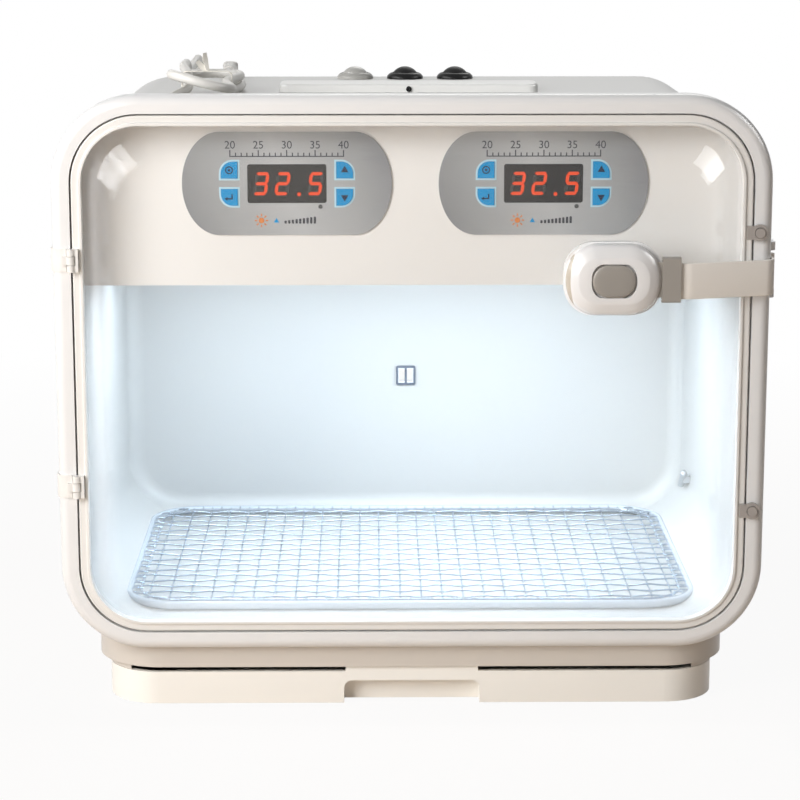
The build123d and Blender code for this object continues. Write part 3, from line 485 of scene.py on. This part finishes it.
def add_to(sheet, shape, matrix):
    """Adds a shape to a sheet of like shapes, at that place."""
    spare = bpy.data.meshes.new("spare")
    shape.to_mesh(spare)
    shape.free()
    spare.transform(matrix)
    sheet.from_mesh(spare)
    bpy.data.meshes.remove(spare)


def spot(x, y, z, turn=0):
    """A place on the front, turned by that many degrees in its plane."""
    return Matrix.Translation((x, y, z)) @ Matrix.Rotation(math.radians(turn), 4, "Y")


print_depth = 0.00012


def stamp(sheet, face, x, y, z, turn=0, depth=print_depth):
    """Prints a face on a sheet of like print, as thick as that depth."""
    add_to(sheet, bring_forwards(face, depth), spot(x, y, z, turn))


def plate_silver(name, middle):
    """Satin silver print, palest about the plate's middle and greyer towards its ends."""
    finish = moulded_plastic(name, (0.5, 0.5, 0.5), 0.36, 0.000015)
    tree = finish.node_tree
    across, upwards = front_axes(tree, middle.x, middle.z)
    shade = tree.nodes.new("ShaderNodeMapRange")
    shade.inputs["From Min"].default_value = -0.064
    shade.inputs["From Max"].default_value = 0.064
    ramp = tree.nodes.new("ShaderNodeValToRGB")
    ramp.color_ramp.elements[0].color = (0.27, 0.27, 0.275, 1)
    ramp.color_ramp.elements[1].color = (0.27, 0.27, 0.28, 1)
    for stop, tone in ((0.2, 0.38), (0.5, 0.50), (0.78, 0.40)):
        ramp.color_ramp.elements.new(stop).color = (tone, tone, tone * 1.01, 1)
    place = tree.nodes.new("ShaderNodeTexCoord")
    brush = tree.nodes.new("ShaderNodeMapping")
    brush.inputs["Scale"].default_value = (30, 900, 900)
    hair = tree.nodes.new("ShaderNodeTexNoise")
    hair.inputs["Scale"].default_value = 3
    streak = tree.nodes.new("ShaderNodeMixRGB")
    streak.blend_type = "SOFT_LIGHT"
    streak.inputs["Fac"].default_value = 0.18
    link = tree.links.new
    link(worked_out(tree, "MULTIPLY_ADD", upwards, 0.35, across), shade.inputs["Value"])
    link(shade.outputs["Result"], ramp.inputs["Fac"])
    link(place.outputs["Object"], brush.inputs["Vector"])
    link(brush.outputs["Vector"], hair.inputs["Vector"])
    link(ramp.outputs["Color"], streak.inputs["Color1"])
    link(hair.outputs["Fac"], streak.inputs["Color2"])
    link(streak.outputs["Color"], tree.nodes["Principled BSDF"].inputs["Base Color"])
    return finish


case_grey = moulded_plastic("case_grey", (0.12, 0.12, 0.125), 0.5, 0.00004)
dress(("controller_left", "controller_right"), case_grey)
window_smoke = moulded_plastic("window_smoke", (0.018, 0.015, 0.014), 0.2, 0.000005)
dress(("display_windows",), window_smoke)
key_blue = moulded_plastic("key_blue", (0.012, 0.30, 0.63), 0.38, 0.00002, 0.08)
key_line = moulded_plastic("key_line", (0.52, 0.72, 0.80), 0.4, 0.00001)
key_navy = moulded_plastic("key_navy", (0.008, 0.016, 0.045), 0.45, 0.00001)
print_dark = moulded_plastic("print_dark", (0.055, 0.055, 0.065), 0.5, 0.00001)
print_orange = moulded_plastic("print_orange", (0.72, 0.24, 0.06), 0.5, 0.00001)
lamp_off = moulded_plastic("lamp_off", (0.10, 0.10, 0.10), 0.2, 0.000005)
bar_glow = {"Emission Color": (0.8, 0.09, 0.02, 1), "Emission Strength": 0.55}
bar_lit = moulded_plastic("bar_lit", (0.42, 0.035, 0.012), 0.4, 0.000005, sockets=bar_glow)
bar_unlit = moulded_plastic("bar_unlit", (0.045, 0.04, 0.038), 0.35, 0.000005)

# seven-bar figures: their size, where each bar lies and which bars each figure shows
figure_height, figure_width, bar_width, figure_slant = 0.0142, 0.0086, 0.0022, 8
slant = Matrix.Identity(4)
slant[0][2] = math.tan(math.radians(figure_slant))
up, out = (figure_height - bar_width) / 2, (figure_width - bar_width) / 2
level_bar, upright_bar = figure_width - 0.6 * bar_width, up - 0.1 * bar_width
bar_places = {
    "a": (0, up, 0), "g": (0, 0, 0), "d": (0, -up, 0),
    "f": (-out, up / 2, 90), "b": (out, up / 2, 90), "e": (-out, -up / 2, 90), "c": (out, -up / 2, 90),
}
figures = ((-0.0154, "abcdg"), (-0.0026, "abdeg"), (0.0171, "acdfg"))
point_x, point_z = 0.0072, -0.0064
# lines round the keys, strokes of their signs, and the printed scale from 20 to 40
outline, outline_corner, outline_breadth, stroke = 0.0124, 0.0082, 0.0011, 0.0008
arrow, dial, dial_line, hook, hook_arrow = 0.0026, 0.0024, 0.0007, 0.0034, 0.0013
scale_first, scale_steps, scale_half, scale_rise = 20, 20, 0.034, 0.0175
tick_breadth, tick_tall, tick_short, tall_rise = 0.0007, 0.0038, 0.0022, 0.0008
rule_breadth, text_size, text_rise = 0.0006, 0.0066, 0.0036
# the warmth sign's sun, its rays and the row of growing marks beside it
sun_x, sun_z, sun_radius = -0.0155, -0.0222, 0.0017
ray_reach, ray_length, wedge, wedge_x = 0.0033, 0.0015, 0.0019, 0.009
marks, mark_start, mark_pitch = 9, 0.0145, 0.0022
mark_breadth, mark_height, mark_growth, mark_corner = 0.0014, 0.0018, 0.0003, 0.0004
# the small lamp, which stands a little proud of the plate
lamp_x, lamp_z, lamp_radius, lamp_height = 0.020, -0.0138, 0.0013, 0.0004

lit, unlit, lines, dark, orange, blue, dots = (bmesh.new() for _ in range(7))
for side in ("left", "right"):
    plate_low, plate_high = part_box(f"overlay_{side}")
    plate = (plate_low + plate_high) / 2
    face_y = plate_low.y
    dress((f"overlay_{side}",), plate_silver(f"plate_silver_{side}", plate))

    # the figures in the display
    for figure_x, shown in figures:
        figure = Matrix.Translation((plate.x + figure_x, face_y, plate.z)) @ slant
        for bar, (x, z, turn) in bar_places.items():
            length = upright_bar if turn else level_bar
            strip = bring_forwards(
                upright_face(length, bar_width * 0.9, bar_width * 0.44, segments=1), print_depth
            )
            add_to(lit if bar in shown else unlit, strip, figure @ spot(x, 0, z, turn))
    stamp(lit, disc(bar_width * 0.55, 12), plate.x + point_x, face_y, plate.z + point_z)

    # the pale line round each key and the sign on it
    for key in ("set", "enter", "up", "down"):
        name = f"{key}_key_{side}"
        key_low, key_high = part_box(name)
        key_mid = (key_low + key_high) / 2
        outer = (math.copysign(1, key_mid.x - plate.x), math.copysign(1, key_mid.z - plate.z))
        frame_line = cut_middle(upright_face(outline, outline, outline_corner, [outer]), outline_breadth)
        stamp(lines, frame_line, key_mid.x, face_y, key_mid.z)
        sign = bmesh.new()
        if key in ("up", "down"):
            stamp(sign, disc(arrow, 3), 0, 0, 0, 0 if key == "up" else 180)
        elif key == "set":
            stamp(sign, cut_middle(disc(dial), dial_line), 0, 0, 0)
            stamp(sign, disc(stroke, 12), 0, 0, 0)
        else:
            stamp(sign, upright_face(hook, stroke, 0), 0.0003, 0, -stroke)
            stamp(sign, upright_face(stroke, 3 * stroke, 0), 0.0016, 0, stroke)
            stamp(sign, disc(hook_arrow, 3), -hook / 2, 0, -stroke, -90)
        bmesh.ops.translate(sign, vec=(key_mid.x, key_low.y, key_mid.z), verts=sign.verts)
        finish_piece(f"{key}_sign_{side}", sign, key_navy, name)

    # the printed scale over the display
    scale_z = plate.z + scale_rise
    for step in range(scale_steps + 1):
        tall = step % 5 == 0
        tick = upright_face(tick_breadth, tick_tall if tall else tick_short, 0)
        x = plate.x + scale_half * (2 * step / scale_steps - 1)
        stamp(dark, tick, x, face_y, scale_z + (tall_rise if tall else 0))
        if tall:
            text = bpy.data.curves.new("figures", "FONT")
            text.body = str(scale_first + step)
            text.size = text_size
            text.align_x = "CENTER"
            text.extrude = print_depth
            spare = bpy.data.objects.new("figures", text)
            flat = bpy.data.meshes.new_from_object(spare)
            text_place = Matrix.Translation((x, face_y, scale_z + text_rise))
            flat.transform(text_place @ Matrix.Rotation(math.pi / 2, 4, "X"))
            dark.from_mesh(flat)
            bpy.data.objects.remove(spare)
            bpy.data.curves.remove(text)
            bpy.data.meshes.remove(flat)
    rule = upright_face(2 * scale_half + tick_breadth, rule_breadth, 0)
    stamp(dark, rule, plate.x, face_y, scale_z - tick_short / 2)

    # the plain warmth sign and the small lamp under the display
    sign_x, sign_z = plate.x + sun_x, plate.z + sun_z
    stamp(orange, disc(sun_radius), sign_x, face_y, sign_z)
    for turn in range(0, 360, 45):
        ray = upright_face(ray_length, stroke, 0)
        bmesh.ops.translate(ray, vec=(ray_reach, 0, 0), verts=ray.verts)
        stamp(orange, ray, sign_x, face_y, sign_z, turn)
    stamp(blue, disc(wedge, 3), sign_x + wedge_x, face_y, sign_z - 0.0003)
    for step in range(marks):
        mark = upright_face(mark_breadth, mark_height + mark_growth * step, mark_corner, segments=2)
        mark_z = sign_z - 0.0010 + mark_growth / 2 * step
        stamp(dark, mark, sign_x + mark_start + mark_pitch * step, face_y, mark_z)
    stamp(dots, disc(lamp_radius, 20), plate.x + lamp_x, face_y, plate.z + lamp_z, depth=lamp_height)
dress([name for name in node if "_key_" in name], key_blue)
for name, sheet, finish, slot in (
    ("figures_lit", lit, bar_lit, "display_dark"),
    ("figures_unlit", unlit, bar_unlit, "display_dark"),
    ("key_lines", lines, key_line, "key_blue"),
    ("plate_print_dark", dark, print_dark, "overlay_silver"),
    ("plate_print_orange", orange, print_orange, "overlay_silver"),
    ("plate_print_blue", blue, key_blue, "overlay_silver"),
    ("plate_lamps", dots, lamp_off, "inner_grey"),
):
    finish_piece(name, sheet, finish, "housing")

# Door ring: white ring with a raised bead that the window is pressed into,
# hung on two small hinges with steel pins and held by two snap catches of grey
# plastic.
door_white = moulded_plastic("door_white", (0.80, 0.78, 0.75), 0.3, 0.00002, 0.01)
dress(("door_frame", "frame_hinge_leaves", "door_hinge_leaves"), door_white)
dress(("hinge_pins",), bright_steel)
catch_grey = moulded_plastic("catch_grey", (0.36, 0.325, 0.30), 0.34, 0.00002)
dress(("catch_clips", "catch_pegs"), catch_grey)

# Window: one clear plastic sheet, drawn into a shallow dome with steep edges.
# A whitish veil along its sides and its lower edge is a painted reflection of
# the pale surroundings, and its gloss shows on the steep edges.
window_low, window_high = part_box("door_window")
window_mid = (window_low + window_high) / 2
window_half = (window_high - window_low) / 2
# the whitish veil, a painted reflection: where it starts, where it is full and how strong it gets
painted_veil_start, painted_veil_full, painted_veil_most = 0.0225, 0.008, 0.13
edge_mirror, front_mirror = 0.35, 0.006
window_clear = bpy.data.materials.new("window_clear")
window_clear.use_nodes = True
clear = window_clear.node_tree
# the whitish veil, a painted reflection of the pale surroundings
painted_veil = clear.nodes["Principled BSDF"]
painted_veil.inputs["Base Color"].default_value = (0.88, 0.88, 0.9, 1)
painted_veil.inputs["Roughness"].default_value = 0.16
through = clear.nodes.new("ShaderNodeBsdfTransparent")
through.inputs["Color"].default_value = (0.99, 0.995, 0.995, 1)
mirror = clear.nodes.new("ShaderNodeBsdfGlossy")
mirror.inputs["Color"].default_value = (1, 1, 1, 1)
mirror.inputs["Roughness"].default_value = 0.05
facing = clear.nodes.new("ShaderNodeLayerWeight")
facing.inputs["Blend"].default_value = 0.5
steep = worked_out(clear, "POWER", facing.outputs["Facing"], 2)
mirror_share = worked_out(clear, "MULTIPLY_ADD", steep, edge_mirror, front_mirror)
across, upwards = front_axes(clear, window_mid.x, window_mid.z)
outwards, downwards = worked_out(clear, "ABSOLUTE", across), worked_out(clear, "MULTIPLY", upwards, -1)
# the painted reflection grows towards the sides and the lower edge
painted_veil_shares = []
for reach, half in ((outwards, window_half.x), (downwards, window_half.z)):
    near = clear.nodes.new("ShaderNodeMapRange")
    near.interpolation_type = "SMOOTHSTEP"
    near.inputs["From Min"].default_value = half - painted_veil_start
    near.inputs["From Max"].default_value = half - painted_veil_full
    near.inputs["To Max"].default_value = painted_veil_most
    clear.links.new(reach, near.inputs["Value"])
    painted_veil_shares.append(near.outputs["Result"])
sheet = mixed(clear, mirror_share, through.outputs["BSDF"], mirror.outputs["BSDF"])
window_skin = mixed(clear, worked_out(clear, "MAXIMUM", *painted_veil_shares), sheet, painted_veil.outputs["BSDF"])
clear.links.new(window_skin, clear.nodes["Material Output"].inputs["Surface"])
dress(("door_window",), window_clear)

# Strap lock: a white base stuck on the window with a foam pad, a white domed
# cover clipped on it with a pale crescent inlaid at its left, and a taupe push
# button in a well in the cover's middle. The strap's buckle is taupe too.
lock_taupe = moulded_plastic("lock_taupe", (0.31, 0.285, 0.255), 0.42, 0.00003)
dress(("strap_buckle",), lock_taupe)
foam_white = moulded_plastic("foam_white", (0.78, 0.78, 0.77), 0.8, 0.0002)
dress(("lock_pad", "anchor_pad"), foam_white)
lock_white = moulded_plastic("lock_white", (0.84, 0.83, 0.825), 0.24, 0.00001)
dress(("lock_base", "anchor_base"), lock_white)


def crown(shape, steps):
    """Domes the foremost face by these steps inwards and forwards, and gives what is left of it."""
    shape.normal_update()
    front = [min(shape.faces, key=lambda face: face.calc_center_median().y)]
    for inward, forward in steps:
        step_in(shape, front, inward, forward)
    return front


cover_low, cover_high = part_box("lock_cover")
cover_mid = (cover_low + cover_high) / 2
cover_size = cover_high - cover_low
cover_corner, cover_side = 0.0197, 0.0046
cover_steps = (
    (0.0009, 0.0018), (0.0011, 0.0014), (0.0024, 0.0013), (0.0024, 0.0011), (0.0006, 0.0003),
    (0.0006, 0.0001), (0.0020, 0.0004), (0.0008, 0),
)
well_width, well_height, well_steps = 0.0268, 0.0203, ((0.0003, -0.0005), (0.0001, -0.0028))
lock_cover = bring_forwards(upright_face(cover_size.x, cover_size.z, cover_corner, segments=12), cover_side)
front = crown(lock_cover, cover_steps)
mouth = front[0].verts[:]
mouth_width = max(v.co.x for v in mouth) - min(v.co.x for v in mouth)
mouth_height = max(v.co.z for v in mouth) - min(v.co.z for v in mouth)
bmesh.ops.scale(lock_cover, vec=(well_width / mouth_width, 1, well_height / mouth_height), verts=mouth)
for inward, forward in well_steps:
    step_in(lock_cover, front, inward, forward)
bmesh.ops.translate(lock_cover, vec=(cover_mid.x, cover_high.y, cover_mid.z), verts=lock_cover.verts)

# the crescent lies outside one circle and inside another
inlay_white = moulded_plastic("inlay_white", (0.84, 0.83, 0.825), 0.24, 0.00001)
inlay = inlay_white.node_tree
arcs = []
for arc_x, operation, radius in ((0.0190, "GREATER_THAN", 0.0446), (-0.0023, "LESS_THAN", 0.0259)):
    reach = inlay.nodes.new("ShaderNodeVectorMath")
    reach.operation = "LENGTH"
    inlay.links.new(front_place(inlay, cover_mid.x + arc_x, cover_mid.z), reach.inputs[0])
    arcs.append(worked_out(inlay, operation, reach.outputs["Value"], radius))
paint(inlay_white, worked_out(inlay, "MULTIPLY", *arcs), (0.52, 0.46, 0.38))
lock_cover = finish_piece("lock_cover_shell", lock_cover, inlay_white, "door", 50)
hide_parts("lock_cover")

button_low, button_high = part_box("lock_button")
button_mid = (button_low + button_high) / 2
seam, push_corner, push_side, push_rise = 0.0006, 0.0092, 0.0012, 0.0022
push_steps = ((0.0004, 0.0004), (0.0009, 0.0003), (0.002, 0.0002), (0.003, 0.0001))
lock_push = upright_face(well_width - 2 * seam, well_height - 2 * seam, push_corner, segments=10)
crown(bring_forwards(lock_push, push_side), push_steps)
push_place = (button_mid.x, button_low.y + push_rise, button_mid.z)
bmesh.ops.translate(lock_push, vec=push_place, verts=lock_push.verts)
lock_push = finish_piece("lock_push", lock_push, lock_taupe, "lock_button", 50)
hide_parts("lock_button")


# Strap: a soft cream band that is moulded on the buckle, runs to the frame's
# right edge, turns round it and ends in an eye on the anchor's steel pin.
def run_on(shape, end, step):
    """Carries the strap's end straight on by that step."""
    grown = bmesh.ops.extrude_face_region(shape, geom=end)
    bmesh.ops.translate(shape, vec=step, verts=new_verts(grown))
    return [made for made in grown["geom"] if isinstance(made, bmesh.types.BMFace)]


def turn_on(shape, end, centre, angle, steps):
    """Carries the strap's end round a corner about that centre."""
    around = [*end, *end[0].edges, *end[0].verts]
    spun = bmesh.ops.spin(
        shape, geom=around, cent=centre, axis=(0, 0, 1), dvec=(0, 0, 0), angle=angle, steps=steps,
        use_duplicate=False,
    )
    return [made for made in spun["geom_last"] if isinstance(made, bmesh.types.BMFace)]


pin_low, pin_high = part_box("anchor_pin")
pin_mid = (pin_low + pin_high) / 2
band_thick, band_width, band_round = 0.0014, 0.0215, 0.0005
band_start, band_knee, band_y, band_z = 0.1540, 0.16305, -0.1679, cover_mid.z - 0.001
corner_x, corner_y = pin_mid.x, -0.1537
eye_radius, eye_bore, eye_gap = 0.004, 0.0019, 0.0032
slope = math.atan2(corner_y - band_y, corner_x - band_knee)
knee_radius, edge_radius = 0.015, 0.0075
knee_cut = knee_radius * math.tan(slope / 2)
edge_cut = edge_radius * math.tan((math.pi / 2 - slope) / 2)
slant_length = math.hypot(corner_x - band_knee, corner_y - band_y) - knee_cut - edge_cut
strap = bmesh.new()
bmesh.ops.create_grid(strap, x_segments=1, y_segments=1, size=0.5)
bmesh.ops.scale(strap, vec=(band_width, band_thick, 1), verts=strap.verts)
bmesh.ops.rotate(strap, cent=(0, 0, 0), matrix=Matrix.Rotation(math.pi / 2, 3, "Y"), verts=strap.verts)
bmesh.ops.translate(strap, vec=(band_start, band_y, band_z), verts=strap.verts)
end = run_on(strap, strap.faces[:], (band_knee - knee_cut - band_start, 0, 0))
end = turn_on(strap, end, (band_knee - knee_cut, band_y + knee_radius, band_z), slope, 4)
end = run_on(strap, end, (slant_length * math.cos(slope), slant_length * math.sin(slope), 0))
bend_from = end[0].calc_center_median()
bend_centre = bend_from + edge_radius * Vector((-math.sin(slope), math.cos(slope), 0))
end = turn_on(strap, end, bend_centre, math.pi / 2 - slope, 10)
run_on(strap, end, (0, pin_mid.y - eye_gap - end[0].calc_center_median().y, 0))
# the ends of the runs are left inside the band as walls, and go before its faces are turned outwards
walls = [face for face in strap.faces if all(len(edge.link_faces) > 2 for edge in face.edges)]
bmesh.ops.delete(strap, geom=walls, context="FACES_ONLY")
bmesh.ops.recalc_face_normals(strap, faces=strap.faces)
soften_edges(strap, band_round, 3)
eye = bmesh.new()
bmesh.ops.create_circle(eye, cap_ends=True, segments=32, radius=eye_radius)
thicken(cut_middle(eye, eye_radius - eye_bore), (0, 0, band_width))
add_to(strap, eye, Matrix.Translation((pin_mid.x, pin_mid.y, band_z - band_width / 2)))
strap_cream = moulded_plastic("strap_cream", (0.93, 0.885, 0.825), 0.5, 0.00006, 0.05)
strap = finish_piece("strap", strap, strap_cream, "strap")
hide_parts("strap_band")
dress(("anchor_pin",), bright_steel)


# Switches: round push switches through the top, one light grey for the lights
# and two black ones for the heaters. Each bezel has its cap's colour, and the
# small grommet in the top cover is of the same black.
def lathe(profile, x, y, z):
    """A shape turned about an upright axis at x and y, from radii and heights over z."""
    shape = bmesh.new()
    line = [shape.verts.new((radius, 0, height)) for radius, height in profile]
    strips = [shape.edges.new(pair) for pair in zip(line, line[1:])]
    bmesh.ops.spin(
        shape, geom=[*line, *strips], cent=(0, 0, 0), axis=(0, 0, 1), angle=2 * math.pi, steps=48,
        use_merge=True,
    )
    bmesh.ops.remove_doubles(shape, verts=shape.verts, dist=0.000001)
    bmesh.ops.recalc_face_normals(shape, faces=shape.faces)
    bmesh.ops.translate(shape, vec=(x, y, z), verts=shape.verts)
    return shape


black, grey, dull = (0.012, 0.012, 0.012), (0.52, 0.51, 0.48), {"Specular IOR Level": 0.12}
switch_black = moulded_plastic("switch_black", black, 0.45, 0.00002, sockets=dull)
switch_grey = moulded_plastic("switch_grey", grey, 0.3, 0.00002)
dress(("cover_grommet",), switch_black)
# the grey bezel lies left of this border, the two black ones right of it
ring_border = -0.018
ring_colours = moulded_plastic("ring_colours", grey, 0.28, 0.00002, sockets=dull)
across = front_axes(ring_colours.node_tree, 0, 0)[0]
paint(ring_colours, worked_out(ring_colours.node_tree, "GREATER_THAN", across, ring_border), black)
flange_rise, barrel_drop = 0.0045, 0.016
lid_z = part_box("switch_bezels")[1].z - flange_rise
ring_line = (
    (0, 0.0006), (0.0089, 0.0006), (0.0089, 0.0037), (0.0093, 0.0040), (0.0102, 0.0037), (0.0114, 0.0028),
    (0.0123, 0.0017), (0.0125, 0.0009), (0.0125, 0), (0.010, 0), (0.010, -barrel_drop), (0, -barrel_drop),
)
cap_radius, skirt_low, skirt_high, cap_rise, dome_steps = 0.0083, 0.0033, 0.0040, 0.0042, 9
ball = (cap_radius**2 + cap_rise**2) / (2 * cap_rise)
sweep = math.asin(cap_radius / ball)
cap_line = [(0, skirt_low), (cap_radius, skirt_low)]
for step in range(dome_steps, -1, -1):
    lean = sweep * step / dome_steps
    cap_line.append((ball * math.sin(lean), skirt_high + cap_rise - ball * (1 - math.cos(lean))))
rings = bmesh.new()
for use, finish, slot in (
    ("light", switch_grey, "light_grey"),
    ("heat_1", switch_black, "black_plastic"),
    ("heat_2", switch_black, "black_plastic"),
):
    cap_low, cap_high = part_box(f"switch_cap_{use}")
    cap_mid = (cap_low + cap_high) / 2
    add_to(rings, lathe(ring_line, cap_mid.x, cap_mid.y, lid_z), Matrix.Identity(4))
    cap = lathe(cap_line, cap_mid.x, cap_mid.y, lid_z)
    cap = finish_piece(f"push_cap_{use}", cap, finish, f"switch_cap_{use}", 50)
    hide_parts(f"switch_cap_{use}")
rings = finish_piece("switch_rings", rings, ring_colours, "housing", 35)
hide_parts("switch_bezels")

# Mains lead: a 6 mm round lead from the strain relief on the top, folded into
# a tied hank of four runs, then over the rear edge down to its plug.
cord_white = moulded_plastic("cord_white", (0.78, 0.76, 0.72), 0.42, 0.00004)
dress(("cord_gland", "power_plug"), cord_white)
lead = (
    (-0.1220, 0.1030, 0.3725), (-0.1220, 0.0890, 0.3725), (-0.1200, 0.0700, 0.3710),
    (-0.1130, 0.0500, 0.3707), (-0.1090, 0.0290, 0.3707), (-0.1090, 0.0130, 0.3707),
)
hank_x, hank_y, hank_half, hank_draw = -0.127, -0.048, 0.018, 0.006
hank_rear, hank_front = 0.007, -0.103
hank_low, layer_rise, waist_lead = 0.3707, 0.0066, 0.013
fold_lift = {0: 0.002, 2: 0.010}
fold_reach = hank_half / math.cos(math.radians(22.5))
runs = 4
hank = []
for strand in range(runs):
    right = strand % 2 == 0
    side, heading = (1, -1) if right else (-1, 1)
    start, end = (hank_rear, hank_front) if right else (hank_front, hank_rear)
    z_start = hank_low + strand // 2 * layer_rise
    z_end = z_start if right else z_start + layer_rise
    run_x, waist_x = hank_x + side * hank_half, hank_x + side * (hank_half - hank_draw)
    hank += [
        (run_x, start + heading * waist_lead, z_start + 0.8 * fold_lift.get(strand - 1, 0)),
        (waist_x, hank_y - heading * waist_lead, z_start + (z_end - z_start) * 0.4),
        (waist_x, hank_y + heading * waist_lead, z_start + (z_end - z_start) * 0.6),
        (run_x, end - heading * waist_lead, z_end),
    ]
    if strand == runs - 1:
        break
    for turn, share in ((22.5, 0.1), (67.5, 0.4), (112.5, 0.8), (157.5, 1)):
        hank.append((
            hank_x + side * fold_reach * math.cos(math.radians(turn)),
            end + heading * fold_reach * math.sin(math.radians(turn)),
            z_end + share * fold_lift.get(strand, 0),
        ))
tail = (
    (-0.1450, 0.0130, 0.3839), (-0.1450, 0.0280, 0.3839), (-0.1460, 0.0470, 0.3795),
    (-0.1470, 0.0670, 0.3756), (-0.1465, 0.0880, 0.3754), (-0.1450, 0.1090, 0.3786),
    (-0.1445, 0.1367, 0.3800), (-0.1445, 0.1553, 0.3693), (-0.1445, 0.1660, 0.3507),
    (-0.1438, 0.1663, 0.3205), (-0.1435, 0.1654, 0.2695), (-0.1445, 0.1645, 0.2165),
    (-0.1445, 0.1645, 0.1660),
)
route = round_curve("mains_lead", 0.003, 4, 8)
route.use_fill_caps = True
lay_spline(route, [*lead, *hank, *tail])
mains_lead = add_piece("mains_lead", route, cord_white, "housing")
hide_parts("power_cord", "cord_hank")

# Twist tie: a flat plastic ribbon with a wire in it, wound once round the
# hank's waist and twisted, with two short tails that stand up from it.
tie_low, tie_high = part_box("cord_tie")
tie_width, tie_thick, tie_corner, tie_round = 0.004, 0.0008, 0.0036, 0.0003
band_high, tail_thick, tail_bow = 0.3846, 0.0006, 0.0012
tie = cut_middle(upright_face(tie_high.x - tie_low.x, band_high - tie_low.z, tie_corner), tie_thick)
bring_forwards(tie, tie_width)
soften_edges(tie, tie_round, 2)
tie_place = (hank_x, hank_y + tie_width / 2, (tie_low.z + band_high) / 2)
bmesh.ops.translate(tie, vec=tie_place, verts=tie.verts)
for tail_x, length, lean, twist in ((0.001, 0.0118, -10, 60), (0, 0.0088, -42, 70)):
    blade = bmesh.new()
    bmesh.ops.create_grid(blade, x_segments=2, y_segments=6, size=0.5)
    bmesh.ops.scale(blade, vec=(tie_width, length, 1), verts=blade.verts)
    bmesh.ops.rotate(blade, cent=(0, 0, 0), matrix=Matrix.Rotation(math.pi / 2, 3, "X"), verts=blade.verts)
    bmesh.ops.translate(blade, vec=(0, 0, length / 2), verts=blade.verts)
    # each tail is narrow where it is twisted, widest past its middle, and bowed
    for corner in blade.verts:
        share = corner.co.z / length
        corner.co.x *= 0.45 + 0.8 * share if share < 0.6 else 0.95 - 0.9 * (share - 0.6)
        corner.co.y += tail_bow * math.sin(3 * share)
    bmesh.ops.solidify(blade, geom=blade.faces[:], thickness=tail_thick)
    bmesh.ops.recalc_face_normals(blade, faces=blade.faces)
    stand = Matrix.Translation((hank_x + tail_x, hank_y, band_high - tail_thick))
    stance = Matrix.Rotation(math.radians(lean), 4, "Y") @ Matrix.Rotation(math.radians(90 - twist), 4, "Z")
    add_to(tie, blade, stand @ stance)
tie_cream = moulded_plastic("tie_cream", (0.80, 0.77, 0.70), 0.35, 0.00003)
tie = finish_piece("twist_tie", tie, tie_cream, "housing")
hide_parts("cord_tie")
